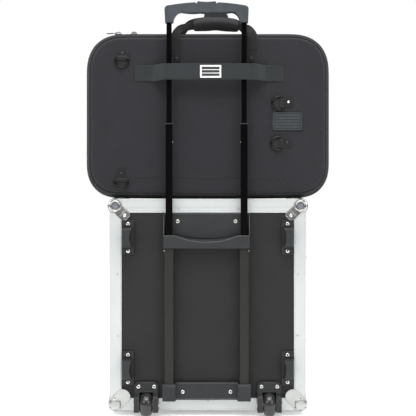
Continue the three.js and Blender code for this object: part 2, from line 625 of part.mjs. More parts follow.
function buildLaptopCase() {
  const group = new THREE.Group();
  place(group, "laptop_shell_rear", bagShell(), look.fabric);
  // The front half is the same moulding seen from the other side.
  const flip = geometryOf(solid(bagShell()).mirror([0, 1, 0]));
  place(group, "laptop_shell_front", flip, look.fabric).position.y = 2 * BAG_MID;
  place(group, "trolley_sleeve_strap", sleeveStrap(), look.webbing);
  const curve = handleCurve(HANDLE.crownRear);
  const webbing = (line) => band(line, 36, 0, 1, HANDLE.width, HANDLE.cloth);
  place(group, "carry_handle_rear", webbing(curve), look.webbing);
  const front = geometryOf(solid(webbing(handleCurve(HANDLE.crownFront))).mirror([0, 1, 0]));
  place(group, "carry_handle_front", front, look.webbing).position.y = 2 * BAG_MID;
  place(group, "carry_handle_wrap", handleWrap(curve), look.fabric);
  for (const [name, { x, z, turn }] of Object.entries(RINGS)) {
    const ring = place(group, name, dRing(), look.plastic);
    ring.position.set(x, RING.y, z);
    ring.rotation.y = -turn;
  }
  const left = place(group, "zip_slider_left", zipSlider(), look.steel);
  left.position.set(SLIDER.left, BAG_MID, BAG_TOP - 1);
  left.rotation.y = -SLIDER.tilt;
  place(group, "zip_slider_right", zipSlider(), look.steel).position.set(SLIDER.right, BAG_MID, BAG_TOP);
  return group;
}

// ---------------------------------------------------------------- assembly
const flightCase = buildFlightCase();
model.add(flightCase, buildLid(flightCase), buildTrolley(), buildLaptopCase());
const bounds = new THREE.Box3().setFromObject(model, true);
const middle = bounds.getCenter(new THREE.Vector3());
model.position.set(-middle.x, -middle.y, -bounds.min.z);
const assembly = new THREE.Group();
assembly.add(model);

export default assembly;
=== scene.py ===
"""Rolling laptop case: a wheeled flight case with a trolley handle, carrying a moulded laptop case.
Detailed meshes, materials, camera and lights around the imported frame. Metres, +Z up."""
import json
import math
import bmesh
import bpy
from mathutils import Matrix, Vector


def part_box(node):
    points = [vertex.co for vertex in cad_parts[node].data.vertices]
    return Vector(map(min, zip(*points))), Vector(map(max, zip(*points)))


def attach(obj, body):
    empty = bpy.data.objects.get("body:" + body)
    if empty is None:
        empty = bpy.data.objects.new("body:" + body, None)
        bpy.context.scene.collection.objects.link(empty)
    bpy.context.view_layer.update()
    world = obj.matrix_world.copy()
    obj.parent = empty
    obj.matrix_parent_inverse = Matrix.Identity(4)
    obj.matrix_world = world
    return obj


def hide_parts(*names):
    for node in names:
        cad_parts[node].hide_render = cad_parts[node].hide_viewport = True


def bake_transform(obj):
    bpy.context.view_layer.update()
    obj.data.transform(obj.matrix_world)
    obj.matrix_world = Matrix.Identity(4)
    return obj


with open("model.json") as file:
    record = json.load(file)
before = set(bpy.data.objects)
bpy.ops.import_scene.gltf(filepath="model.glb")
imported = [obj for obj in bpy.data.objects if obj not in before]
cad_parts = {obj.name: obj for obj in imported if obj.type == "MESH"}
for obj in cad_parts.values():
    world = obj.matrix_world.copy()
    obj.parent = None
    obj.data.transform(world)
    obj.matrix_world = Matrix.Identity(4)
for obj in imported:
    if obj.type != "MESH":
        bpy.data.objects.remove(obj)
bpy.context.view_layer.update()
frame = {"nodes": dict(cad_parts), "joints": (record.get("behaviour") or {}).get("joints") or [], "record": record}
nodes = frame["nodes"]

# ---------------------------------------------------------------- driving dimensions
MM = 0.001
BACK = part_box("back_panel")[0].y  # outer face of the back panel
MID_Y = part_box("laptop_shell_rear")[1].y + 0.3 * MM  # the laptop case's zip line
SIDES = (("left", -1), ("right", 1))
LEVELS = (("top", 1), ("bottom", -1))
X, Y, Z = Vector((1, 0, 0)), Vector((0, 1, 0)), Vector((0, 0, 1))


def at(x, y, z):
    """A point from millimetres: x from the middle, y behind the back panel's face, z off the floor."""
    return Vector((x * MM, BACK + y * MM, z * MM))


# ---------------------------------------------------------------- mesh helpers
def add_faces(bm, points, faces):
    verts = [bm.verts.new(p) for p in points]
    for face in faces:
        bm.faces.new([verts[i] for i in face])


def add_loft(bm, rings, caps=True, closed=False):
    """A skin over rings with equal point counts. A closed chain joins its last ring to its first."""
    rows = [[bm.verts.new(p) for p in ring] for ring in rings]
    n = len(rows[0])
    pairs = list(zip(rows, rows[1:] + rows[:1])) if closed else list(zip(rows, rows[1:]))
    for low, high in pairs:
        for i in range(n):
            j = (i + 1) % n
            bm.faces.new((low[i], low[j], high[j], high[i]))
    if caps and not closed:
        bm.faces.new(rows[0][::-1])
        bm.faces.new(rows[-1])


def add_box(bm, lo, hi):
    ring = lambda z: [(lo[0], lo[1], z), (hi[0], lo[1], z), (hi[0], hi[1], z), (lo[0], hi[1], z)]
    add_loft(bm, [ring(lo[2]), ring(hi[2])])


def frame_of(axis):
    """Two unit vectors square to an axis."""
    axis = axis.normalized()
    side = (Z if abs(axis.z) < 0.9 else X).cross(axis).normalized()
    return side, axis.cross(side)


def add_lathe(bm, profile, origin, axis, sides=24):
    """A profile of (radius, height) turned about an axis. A radius of 0 closes it."""
    u, v = frame_of(axis)
    axis = axis.normalized()
    turns = [2 * math.pi * i / sides for i in range(sides)]
    rows = []
    for r, h in profile:
        foot = origin + axis * h
        if r == 0:
            rows.append([bm.verts.new(foot)])
            continue
        rows.append([bm.verts.new(foot + (u * math.cos(t) + v * math.sin(t)) * r) for t in turns])
    for low, high in zip(rows, rows[1:]):
        for i in range(sides):
            j = (i + 1) % sides
            loop = [low[i % len(low)], low[j % len(low)], high[j % len(high)], high[i % len(high)]]
            loop = [p for k, p in enumerate(loop) if p not in loop[:k]]
            bm.faces.new(loop)


def add_tube(bm, points, radius, sides=10, closed=False, flat=1.0, across=None):
    """A round or flattened section swept along points."""
    n = len(points)
    rings = []
    u = None
    for i, p in enumerate(points):
        before = points[(i - 1) % n] if closed or i else p
        after = points[(i + 1) % n] if closed or i < n - 1 else p
        along = (after - before).normalized()
        if across is not None:
            u = (across - along * across.dot(along)).normalized()
        elif u is None:
            u = frame_of(along)[0]
        else:
            u = (u - along * u.dot(along)).normalized()
        v = along.cross(u)
        turns = [2 * math.pi * k / sides for k in range(sides)]
        rings.append([p + u * radius * math.cos(t) + v * radius * flat * math.sin(t) for t in turns])
    add_loft(bm, rings, closed=closed)


def add_bead(bm, a, b, radius, sides=8):
    """A straight round bead between two places of at(), with its radius in millimetres."""
    add_tube(bm, [at(*a), at(*b)], radius * MM, sides)


def add_turned(bm, profile, centre, axis, sides=40):
    """A lathe whose profile is in millimetres."""
    add_lathe(bm, [(r * MM, h * MM) for r, h in profile], centre, axis, sides)


def add_rim(bm, lo, hi, width, y0, y1):
    """A raised border inside a rectangle in (x, z), from y0 to y1."""
    for x0, x1, z0, z1 in ((lo.x, lo.x + width, lo.z, hi.z), (hi.x - width, hi.x, lo.z, hi.z),
                           (lo.x, hi.x, lo.z, lo.z + width), (lo.x, hi.x, hi.z - width, hi.z)):
        add_box(bm, (x0, y0, z0), (x1, y1, z1))


def add_strip(bm, points, across, width, thick):
    """A flat band along points; across gives its width direction and width its size at each point."""
    rings = []
    for i, p in enumerate(points):
        wide = width[i] if isinstance(width, list) else width
        along = (points[min(i + 1, len(points) - 1)] - points[max(i - 1, 0)]).normalized()
        side = across[i] if isinstance(across, list) else across
        side = (side - along * side.dot(along)).normalized()
        out = along.cross(side)
        w, t = side * wide / 2, out * thick / 2
        edge = 0.8
        rings.append([p - w - t * 0.4, p - w * edge - t, p + w * edge - t, p + w - t * 0.4,
                      p + w + t * 0.4, p + w * edge + t, p - w * edge + t, p - w + t * 0.4])
    add_loft(bm, rings)


def smooth_points(points, steps):
    """A Catmull-Rom curve through points."""
    ends = [points[0] * 2 - points[1], *points, points[-1] * 2 - points[-2]]
    out = []
    for a, b, c, d in zip(ends, ends[1:], ends[2:], ends[3:]):
        for k in range(steps):
            t = k / steps
            out.append(0.5 * (2 * b + (c - a) * t + (2 * a - 5 * b + 4 * c - d) * t * t
                              + (3 * b - a - 3 * c + d) * t ** 3))
    return out + [points[-1]]


def harden(obj, bevel, segments=2, angle=32):
    """Rounds the sharp edges and evens the shading."""
    obj.data.shade_smooth()
    if bevel:
        mod = obj.modifiers.new("edge", "BEVEL")
        mod.width = bevel
        mod.segments = segments
        mod.limit_method = "ANGLE"
        mod.angle_limit = math.radians(angle)
        mod.miter_outer = "MITER_ARC"
    mod = obj.modifiers.new("normals", "WEIGHTED_NORMAL")
    mod.keep_sharp = True


def piece(name, bm, look, body, bevel=0.0, replaces=(), angle=32):
    """Turns a bmesh into a piece that rides on a body. With no body it is left free."""
    bmesh.ops.recalc_face_normals(bm, faces=bm.faces)
    mesh = bpy.data.meshes.new(name)
    bm.to_mesh(mesh)
    bm.free()
    obj = bpy.data.objects.new(name, mesh)
    bpy.context.scene.collection.objects.link(obj)
    mesh.materials.append(LOOK[look])
    harden(obj, bevel, angle=angle)
    if body:
        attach(obj, body)
    if replaces:
        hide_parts(*replaces)
    return obj


# ---------------------------------------------------------------- materials
class Nodes:
    """Short forms for building one node material."""

    def __init__(self, name, color, roughness, metallic=0.0, **painted_socket_shade):
        self.material = bpy.data.materials.new(name)
        self.material.use_nodes = True
        self.tree = self.material.node_tree
        self.shader = self.tree.nodes["Principled BSDF"]
        self.shader.inputs["Base Color"].default_value = (*color, 1)
        self.shader.inputs["Roughness"].default_value = roughness
        self.shader.inputs["Metallic"].default_value = metallic
        for key, value in painted_socket_shade.items():
            self.shader.inputs[key.replace("_", " ")].default_value = value
        self.place = self.add("ShaderNodeTexCoord").outputs["Object"]

    def add(self, kind, **inputs):
        node = self.tree.nodes.new(kind)
        for key, value in inputs.items():
            socket = node.inputs[key.replace("_", " ")]
            if isinstance(value, bpy.types.NodeSocket):
                self.tree.links.new(value, socket)
            else:
                socket.default_value = value
        return node

    def math(self, operation, a, b=0.0):
        node = self.tree.nodes.new("ShaderNodeMath")
        node.operation = operation
        for socket, value in zip(node.inputs, (a, b)):
            if isinstance(value, bpy.types.NodeSocket):
                self.tree.links.new(value, socket)
            else:
                socket.default_value = value
        return node.outputs[0]

    def noise(self, size, detail=3.0, stretch=(1, 1, 1)):
        """Noise with features of about the given size in metres."""
        mapped = self.add("ShaderNodeMapping", Vector=self.place, Scale=stretch)
        return self.add("ShaderNodeTexNoise", Vector=mapped.outputs[0], Scale=1 / size,
                        Detail=detail).outputs[0]

    def threads(self, pitch):
        """Threads that cross at right angles on faces that look along any axis."""
        parts = self.add("ShaderNodeSeparateXYZ", Vector=self.place)
        waves = [self.math("SINE", self.math("MULTIPLY", axis, 2 * math.pi / pitch))
                 for axis in parts.outputs]
        return self.math("ADD", self.math("ADD", waves[0], waves[1]), waves[2])

    def vary(self, value, color, spread):
        """Colour that runs from darker to lighter with a value."""
        node = self.add("ShaderNodeValToRGB", Fac=value)
        stops = zip(node.color_ramp.elements, (1 - spread, 1 + spread), (0.3, 0.7))
        for stop, share, place in stops:
            stop.color = (*(c * share for c in color), 1)
            stop.position = place
        self.tree.links.new(node.outputs[0], self.shader.inputs["Base Color"])

    def gloss(self, value, low, high):
        node = self.add("ShaderNodeMapRange", Value=value, To_Min=low, To_Max=high)
        self.tree.links.new(node.outputs[0], self.shader.inputs["Roughness"])

    def bump(self, *layers):
        """Layers of (height, depth in metres), the first one nearest the surface."""
        normal = None
        for height, depth in layers:
            node = self.add("ShaderNodeBump", Height=height, Strength=1.0, Distance=depth)
            if normal:
                self.tree.links.new(normal, node.inputs["Normal"])
            normal = node.outputs[0]
        self.tree.links.new(normal, self.shader.inputs["Normal"])


def laminate():
    color = (0.0155, 0.0155, 0.0157)
    m = Nodes("laminate", color, 0.5, Specular_IOR_Level=0.25)
    grain = m.add("ShaderNodeTexVoronoi", Vector=m.place, Scale=1 / 0.0022).outputs["Distance"]
    m.vary(m.noise(0.09), color, 0.08)
    m.gloss(m.noise(0.012, 5), 0.42, 0.62)
    m.bump((grain, 0.00022), (m.noise(0.0009), 0.0001))
    return m.material


def aluminium():
    color = (0.58, 0.605, 0.6)
    m = Nodes("aluminium", color, 0.45, 0.55)
    m.vary(m.noise(0.06), color, 0.02)
    brushed = m.noise(0.0012, 2, (1, 1, 0.04))
    m.gloss(m.noise(0.01, 6), 0.44, 0.5)
    m.bump((brushed, 0.00002))
    return m.material


def nickel(name="nickel", color=(0.46, 0.46, 0.45), rough=(0.12, 0.24)):
    m = Nodes(name, color, 0.16, 1.0)
    m.vary(m.noise(0.02), color, 0.07)
    m.gloss(m.noise(0.006, 6), *rough)
    m.bump((m.noise(0.004), 0.00006))
    return m.material


def zinc():
    color = (0.78, 0.77, 0.73)
    m = Nodes("zinc", color, 0.25, 1.0)
    m.vary(m.noise(0.004), color, 0.12)
    m.gloss(m.noise(0.002), 0.18, 0.36)
    return m.material


def steel():
    color = (0.56, 0.57, 0.58)
    m = Nodes("steel", color, 0.35, 1.0)
    m.vary(m.noise(0.008), color, 0.08)
    m.gloss(m.noise(0.003), 0.28, 0.44)
    m.bump((m.noise(0.0008, 2, (1, 1, 0.1)), 0.00003))
    return m.material


def black_nylon(name="black_nylon", color=(0.0215, 0.0225, 0.024), rough=(0.38, 0.56)):
    m = Nodes(name, color, 0.45, Specular_IOR_Level=0.32)
    m.vary(m.noise(0.03), color, 0.1)
    m.gloss(m.noise(0.005, 5), *rough)
    m.bump((m.noise(0.0011, 2), 0.00016))
    return m.material


def black_tube():
    color = (0.001, 0.0009, 0.001)
    m = Nodes("black_tube", color, 0.2, 0.0, Specular_IOR_Level=0.1)
    m.vary(m.noise(0.05, 3, (1, 1, 0.1)), color, 0.2)
    m.gloss(m.noise(0.003, 2, (1, 1, 0.02)), 0.2, 0.3)
    return m.material


def rubber(name, color, roughness):
    m = Nodes(name, color, roughness)
    m.vary(m.noise(0.01), color, 0.15)
    m.gloss(m.noise(0.004, 4), roughness - 0.08, roughness + 0.1)
    m.bump((m.noise(0.0014), 0.00009))
    return m.material


def tread():
    color = (0.02, 0.019, 0.019)
    m = Nodes("tread", color, 0.24, 0.0, Coat_Weight=0.25, Coat_Roughness=0.12)
    m.vary(m.noise(0.012), color, 0.22)
    m.gloss(m.noise(0.003, 5), 0.2, 0.36)
    m.bump((m.noise(0.005), 0.00012))
    return m.material


def cloth(name, color, pitch, depth, sheen, spread):
    """Woven fabric with its threads at a pitch and of a depth in metres."""
    m = Nodes(name, color, 0.86, 0.0, Sheen_Weight=sheen, Sheen_Roughness=0.5,
              Specular_IOR_Level=0.3)
    m.vary(m.noise(0.05, 4), color, spread)
    m.bump((m.threads(pitch), depth), (m.noise(0.0022, 3), 0.00025))
    return m.material


def plain(name, color, roughness):
    m = Nodes(name, color, roughness)
    m.vary(m.noise(0.01), color, 0.08)
    m.gloss(m.noise(0.003), roughness - 0.05, roughness + 0.08)
    return m.material


def foam():
    color = (0.03, 0.03, 0.032)
    m = Nodes("foam", color, 0.95)
    m.vary(m.noise(0.02), color, 0.2)
    cells = m.add("ShaderNodeTexVoronoi", Vector=m.place, Scale=1 / 0.0016).outputs["Distance"]
    m.bump((cells, 0.0005))
    return m.material


LOOK = {
    "laminate": laminate(),
    "aluminium": aluminium(),
    "nickel": nickel(),
    "zinc": zinc(),
    "steel": steel(),
    "nylon": black_nylon(),
    "channel": black_nylon("channel_paint", (0.0135, 0.0133, 0.0118), (0.4, 0.5)),
    "grip": black_nylon("grip_nylon", (0.04, 0.0475, 0.054), (0.34, 0.5)),
    "tube": black_tube(),
    "rubber": rubber("rubber", (0.02, 0.02, 0.02), 0.6),
    "patch": rubber("patch_rubber", (0.02, 0.025, 0.0285), 0.6),
    "patch_painted_shade": rubber("painted_shade_patch_rubber", (0.008, 0.01, 0.011), 0.6),
    "tread": tread(),
    "shell": cloth("shell_fabric", (0.0165, 0.0162, 0.0205), 0.0011, 0.00018, 0.1, 0.08),
    # side band and spine: a cloth darker than the face, which draws a dark outline round the shell
    "side_band_dark": cloth("darker_side_band_fabric", (0.0075, 0.0075, 0.009), 0.0013, 0.0002, 0.03, 0.08),
    "lining": cloth("lining_fabric", (0.05, 0.05, 0.056), 0.0016, 0.0001, 0.35, 0.1),
    "webbing": cloth("webbing", (0.023, 0.0275, 0.0295), 0.0021, 0.00035, 0.08, 0.08),
    "dark_webbing": cloth("dark_webbing", (0.011, 0.011, 0.011), 0.0019, 0.0003, 0.1, 0.1),
    "thread": plain("thread", (0.016, 0.016, 0.017), 0.7),
    "label": plain("label", (0.8, 0.8, 0.8), 0.5),
    "ink": plain("ink", (0.02, 0.022, 0.022), 0.55),
    "foam": foam(),
    "ring": black_nylon("ring_plastic", (0.0018, 0.0018, 0.002), (0.1, 0.16)),
    "bright": nickel("bright_nickel", (0.48, 0.49, 0.48), (0.32, 0.45)),
    # line: a darker, matte copy of the aluminium, painted shade on the rolled lines and edge rivets
    "line": plain("aluminium_painted_shade_line", (0.5, 0.52, 0.52), 0.45),
    # flank: a darker copy of the nickel, painted dark reflection on the top balls' flanks
    "flank": nickel("painted_reflection_nickel", (0.16, 0.165, 0.17), (0.12, 0.2)),
    # small dark marks on the bottom balls, and the painted dark reflection in the top balls' middles
    "marks_and_painted_reflection": plain("dark_marks_with_painted_reflection", (0.16, 0.17, 0.19), 0.25),
    # bead: a lighter copy of the nylon, painted highlights along ledges and edges
    "bead": black_nylon("painted_highlight_nylon", (0.06, 0.062, 0.065), (0.3, 0.4)),
    "black_metal": plain("black_metal", (0.03, 0.03, 0.031), 0.3),
    "gun_metal": nickel("gun_metal", (0.13, 0.13, 0.135), (0.2, 0.35)),
    "dark_padding": cloth("dark_padding_fabric", (0.008, 0.008, 0.0095), 0.0013, 0.0002, 0.05, 0.1),
    "padding": cloth("padding_fabric", (0.02, 0.02, 0.023), 0.0013, 0.0002, 0.15, 0.1),
    # dark: the zip teeth's own black, also painted shade in the screw sockets and inside the D-rings
    "dark": plain("dark", (0.006, 0.006, 0.006), 0.7),
}
CAD_LOOK = {
    "laminate": "laminate", "aluminium": "aluminium", "plated_steel": "nickel", "plain_steel": "steel",
    "black_plastic": "nylon", "black_tube": "tube", "grip_plastic": "grip", "rubber": "rubber",
    "wheel_tread": "tread", "shell_fabric": "shell", "webbing": "webbing",
}


def dress_cad():
    """The CAD nodes that stay get a procedural material and rounded edges."""
    fine = {"tube": 1.4, "laminate": 0.4, "nickel": 0.5, "nylon": 0.9, "grip": 1.2, "aluminium": 0.35}
    for row in frame["record"]["subparts"]:
        obj = nodes[row["node"]]
        look = "channel" if "channel" in row["node"] else CAD_LOOK[row["material_slot"]]
        obj.data.materials.clear()
        obj.data.materials.append(LOOK[look])
        weld = obj.modifiers.new("weld", "WELD")
        weld.merge_threshold = 2e-6
        harden(obj, fine.get(look, 0.3) * MM, 3 if look == "tube" else 2)


dress_cad()


# ---------------------------------------------------------------- fasteners
def add_screw(bm, point, normal, radius=4.6 * MM):
    """A pan head with a socket in the middle."""
    r = radius
    profile = [(0, -r * 0.1), (r, -r * 0.1), (r, r * 0.22), (r * 0.93, r * 0.42), (r * 0.74, r * 0.58),
               (r * 0.46, r * 0.66), (r * 0.34, r * 0.6), (r * 0.3, r * 0.15), (0, r * 0.1)]
    add_lathe(bm, profile, point, normal, 20)


def add_flush_screw(bm, point, normal, radius=5 * MM):
    """A countersunk head that stands 0.6 mm proud, with a socket in the middle."""
    r = radius
    top = 0.6 * MM
    profile = [(0, -r * 0.1), (r, -r * 0.1), (r, top * 0.4), (r * 0.9, top), (r * 0.38, top),
               (r * 0.32, -r * 0.05), (0, -r * 0.05)]
    add_lathe(bm, profile, point, normal, 20)


def add_rivet(bm, point, normal, radius=3.2 * MM):
    """A low dome with the small pit that a blind rivet leaves."""
    r = radius
    profile = [(0, -r * 0.1), (r, -r * 0.1), (r, r * 0.08), (r * 0.9, r * 0.25), (r * 0.65, r * 0.42),
               (r * 0.38, r * 0.48), (r * 0.3, r * 0.36), (r * 0.28, 0), (0, 0)]
    add_lathe(bm, profile, point, normal, 16)


def fasteners(name, body, add, points, normal, radius, material="zinc"):
    bm = bmesh.new()
    for point in points:
        add(bm, point, normal, radius)
    piece(name, bm, material, body)
    if add is add_screw:
        # A dark disc set in each pan head's socket paints the shade inside it.
        bm = bmesh.new()
        r = radius
        socket = [(0, r * 0.5), (r * 0.36, r * 0.5), (r * 0.34, r * 0.68), (0, r * 0.62)]
        for point in points:
            add_lathe(bm, socket, point, normal, 6)
        piece(f"{name}_sockets", bm, "dark", body)


# ---------------------------------------------------------------- laptop case
REAR_LO, REAR_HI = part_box("laptop_shell_rear")
CORNER = {"top": 105 * MM, "bottom": 88 * MM}
CORNER_POWER = 2.5
BOW = 3 * MM  # how far the bottom edge bows down in the middle
FACE_Y = REAR_LO.y
SHELL_MID_Z = (REAR_LO.z + REAR_HI.z) / 2


def shell_outline(inset, steps=14):
    """The shell's outline in (x, z), brought in by inset, with round points between its corners."""
    half = REAR_HI.x - inset
    points = []

    def corner(sx, level, turn_back):
        r = CORNER[level] - inset
        top = level == "top"
        cx, cz = sx * (half - r), (REAR_HI.z - inset - r) if top else (REAR_LO.z + inset + r)
        for i in range(steps + 1):
            t = math.pi / 2 * ((steps - i if turn_back else i) / steps)
            c, s = math.cos(t) ** (2 / CORNER_POWER), math.sin(t) ** (2 / CORNER_POWER)
            points.append((cx + sx * r * c, cz + (r if top else -r) * s))

    def straight(a, b, count):
        for i in range(1, count):
            points.append((a[0] + (b[0] - a[0]) * i / count, a[1] + (b[1] - a[1]) * i / count))

    corner(1, "top", False)
    start = points[-1]
    straight(start, (-start[0], start[1]), 20)
    corner(-1, "top", True)
    start = points[-1]
    straight(start, (start[0], REAR_LO.z + CORNER["bottom"]), 10)
    corner(-1, "bottom", False)
    start = points[-1]
    straight(start, (-start[0], start[1]), 20)
    corner(1, "bottom", True)
    start = points[-1]
    straight(start, (start[0], REAR_HI.z - CORNER["top"]), 10)
    return [(x, z + (BOW * (x / half) ** 2 if z < SHELL_MID_Z else 0)) for x, z in points]


# (inset, depth from the zip line) down the shell's side, over the edge and onto the face, in millimetres.
SIDE_PROFILE = [
    (2.6, 0.3), (1.2, 0.5), (0.2, 1.6), (0.0, 2.8), (0.5, 4.2), (1.9, 5.0), (1.3, 6.2), (1.0, 9.0),
    (1.2, 20), (2.0, 31), (3.3, 38), (5.6, 44.5), (8.2, 48.9), (10.4, 51.4), (11.6, 52.0), (12.5, 51.2),
    (13.4, 50.6), (14.3, 51.4), (15.2, 53.6), (16.8, 55.4), (19.4, 56.5), (22.6, 56.9), (26, 57.0)]
INNER_PROFILE = [(26, 53.2), (18, 51), (11, 46), (7, 36), (4.2, 20), (4, 0.3)]


def face_relief(x, z):
    """How far the moulded face sinks, in metres: a soft groove down both ends."""
    depth, centre, width = 1.1 * MM, 248 * MM, 7 * MM
    span = REAR_HI.z - REAR_LO.z
    inner = max(0.0, 1 - ((z - SHELL_MID_Z) / (0.34 * span)) ** 8)
    return depth * math.exp(-((abs(x) - centre) / width) ** 2) * inner


def shell_rings(side):
    """Rings from inside the shell over its rim and side to the middle of its face."""
    rings = []

    def ring(inset, depth):
        y = MID_Y - side * depth * MM
        return [Vector((x, y, z)) for x, z in shell_outline(inset * MM)]

    def fill(inset, depth, count, outward):
        """Rings that close the face towards its middle."""
        edge = ring(inset, depth)
        made = []
        for k in range(1, count + 1):
            scale = 1 - (k / (count + 0.35))
            row = []
            for p in edge:
                q = Vector((p.x * scale, p.y, SHELL_MID_Z + (p.z - SHELL_MID_Z) * scale))
                q.y += side * face_relief(q.x, q.z)
                row.append(q)
            made.append(row)
        return made if outward else made[::-1]

    rings += fill(*INNER_PROFILE[0], 14, False)
    rings += [ring(*step) for step in INNER_PROFILE]
    rings += [ring(*step) for step in SIDE_PROFILE]
    rings += fill(*SIDE_PROFILE[-1], 40, True)
    return rings


def build_shell(name, side, body):
    bm = bmesh.new()
    add_loft(bm, shell_rings(side))
    shell = piece(f"{name}_moulding", bm, "shell", body,
                  replaces=(f"laptop_shell_{name}",))
    shell.data.materials.append(LOOK["lining"])
    shell.data.materials.append(LOOK["side_band_dark"])
    for face in shell.data.polygons:
        depth = (MID_Y - face.center.y) * side
        if face.normal.y * side > 0.2:
            face.material_index = 1
        elif depth < 49 * MM and abs(face.normal.y) < 0.86:
            # The side band takes the darker cloth, which draws a dark outline round the shell.
            face.material_index = 2


def outline_path(inset, y):
    return [Vector((x, y, z)) for x, z in shell_outline(inset * MM)]


def build_piping(name, side, body):
    """A round piping along the rim, and the recessed zip tape beside it."""
    bm = bmesh.new()
    add_tube(bm, outline_path(1.4, MID_Y - side * 3.0 * MM), 1.5 * MM, 8, closed=True)
    piece(f"{name}_piping", bm, "dark_webbing", body)
    bm = bmesh.new()
    rings = [outline_path(inset, MID_Y - side * y * MM) for inset, y in
             ((3.2, 0.25), (1.9, 0.25), (1.3, 1.2), (2.6, 2.2), (3.4, 2.2))]
    add_loft(bm, rings, caps=False, closed=True)
    piece(f"{name}_zip_tape", bm, "dark_webbing", body)


def along_path(points, spacing):
    """Points and directions at even steps along a closed path."""
    out = []
    left = 0.0
    for a, b in zip(points, points[1:] + points[:1]):
        run = (b - a).length
        direction = (b - a) / run if run else X
        while left <= run:
            out.append((a + direction * left, direction))
            left += spacing
        left -= run
    return out


def build_zip_teeth(name, side, body):
    """Coil teeth of one half. The zip leaves out the spine down the left side."""
    bm = bmesh.new()
    pitch = 2.4 * MM
    path = outline_path(0.6, MID_Y)
    spine = (REAR_LO.z + CORNER["bottom"], REAR_HI.z - CORNER["top"])
    for i, (p, d) in enumerate(along_path(path, pitch)):
        if p.x < 0 and spine[0] < p.z < spine[1]:
            continue
        if (i % 2 == 0) != (side > 0):
            continue
        out = d.cross(Y) if d.cross(Y).dot(p - Vector((0, MID_Y, SHELL_MID_Z))) > 0 else -d.cross(Y)
        ring = []
        for depth, half in ((-1.3, 0.75), (1.5, 0.75)):
            base = p - Y * side * depth * MM
            w, h = d * half * MM, out * 0.55 * MM
            ring.append([base - w - h, base + w - h, base + w * 0.7 + h, base - w * 0.7 + h])
        add_loft(bm, ring)
    piece(f"{name}_zip_teeth", bm, "dark", body)


def build_spine():
    """The fabric hinge down the left side."""
    bm = bmesh.new()
    x = REAR_LO.x + 0.2 * MM
    low, high = REAR_LO.z + CORNER["bottom"] + 8 * MM, REAR_HI.z - CORNER["top"] - 8 * MM
    ring = lambda z: [Vector((x - bulge * MM, MID_Y + y * MM, z)) for bulge, y in
                      ((-1.4, -9), (-0.1, -8), (0.5, -4), (0.7, 0), (0.5, 4), (-0.1, 8), (-1.4, 9),
                       (-1.9, 4), (-1.9, 0), (-1.9, -4))]
    count = 24
    add_loft(bm, [ring(low + (high - low) * i / count) for i in range(count + 1)])
    spine = piece("fabric_spine", bm, "side_band_dark", None)
    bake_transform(spine)


def build_moulded_line():
    """The raised line that runs low across the back face and turns down at both ends."""
    line = [(-196, 571), (-190, 580), (-180, 594), (-174, 597), (-120, 597), (0, 597), (120, 597),
            (168, 597), (175, 594), (186, 582), (192, 573)]
    points = smooth_points([Vector((x * MM, FACE_Y - 0.1 * MM, z * MM)) for x, z in line], 5)
    bm = bmesh.new()
    add_tube(bm, points, 2.2 * MM, 8, flat=0.5, across=X + Z)
    piece("moulded_line", bm, "shell", "laptop_case")


STITCH, THREAD_RADIUS = 2.6 * MM, 0.32 * MM


def add_stitches(bm, a, b, normal, pitch=4 * MM):
    """A row of thread stitches from a to b, lying on a surface."""
    length, radius = STITCH, THREAD_RADIUS
    run = (b - a).length
    along = (b - a) / run
    count = max(2, int(run / pitch))
    for i in range(count):
        centre = a + along * run * (i + 0.5) / count + normal * radius * 0.3
        ends = [centre - along * length / 2, centre + along * length / 2]
        mid = centre + normal * radius * 0.9
        add_tube(bm, [ends[0] - normal * radius, mid, ends[1] - normal * radius], radius, 5)


def stitch_loop(bm, corners, normal):
    for a, b in zip(corners, corners[1:] + corners[:1]):
        add_stitches(bm, a, b, normal)


def stitch_box(bm, lo, hi, y):
    """Stitches round a rectangle on a face that looks along -Y, with a cross inside."""
    corners = [Vector((x, y, z)) for x, z in
               ((lo[0], lo[1]), (hi[0], lo[1]), (hi[0], hi[1]), (lo[0], hi[1]))]
    stitch_loop(bm, corners, -Y)
    add_stitches(bm, corners[0], corners[2], -Y)
    add_stitches(bm, corners[1], corners[3], -Y)


def build_sleeve_strap():
    lo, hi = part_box("trolley_sleeve_strap")
    mid_z, width = (lo.z + hi.z) / 2, hi.z - lo.z
    mid_x, half = (lo.x + hi.x) / 2, (hi.x - lo.x) / 2
    cloth = 1.8 * MM
    seat, front = hi.y - cloth / 2, lo.y + cloth / 2
    patch = 40 * MM
    shape = [(1.0, 0), (1 - patch / half * 0.5, 0), (1 - patch / half, 0.03), (0.735, 0.18), (0.685, 0.5),
             (0.635, 0.83), (0.575, 0.98), (0.4, 1.0), (0.2, 1.0)]
    side = [Vector((mid_x + half * u, seat + (front - seat) * v, mid_z)) for u, v in shape]
    other = [Vector((2 * mid_x - p.x, p.y, p.z)) for p in side]
    line = smooth_points(side + [Vector((mid_x, front, mid_z))] + other[::-1], 6)
    bm = bmesh.new()
    add_strip(bm, line, Z, width, cloth)
    piece("sleeve_strap", bm, "webbing", "laptop_case",
          replaces=("trolley_sleeve_strap",))
    bm = bmesh.new()
    for s in (-1, 1):
        a, b = sorted((mid_x + s * (half - 4 * MM), mid_x + s * (half - patch + 4 * MM)))
        stitch_box(bm, (a, lo.z + 5 * MM), (b, hi.z - 5 * MM), seat - cloth / 2)
    for z in (lo.z + 3 * MM, hi.z - 3 * MM):
        reach = half * 0.6
        add_stitches(bm, Vector((mid_x - reach, front - cloth / 2, z)),
                     Vector((mid_x + reach, front - cloth / 2, z)), -Y, 5 * MM)
    piece("strap_stitching", bm, "thread", "laptop_case")
    build_label(mid_z, front - cloth / 2)


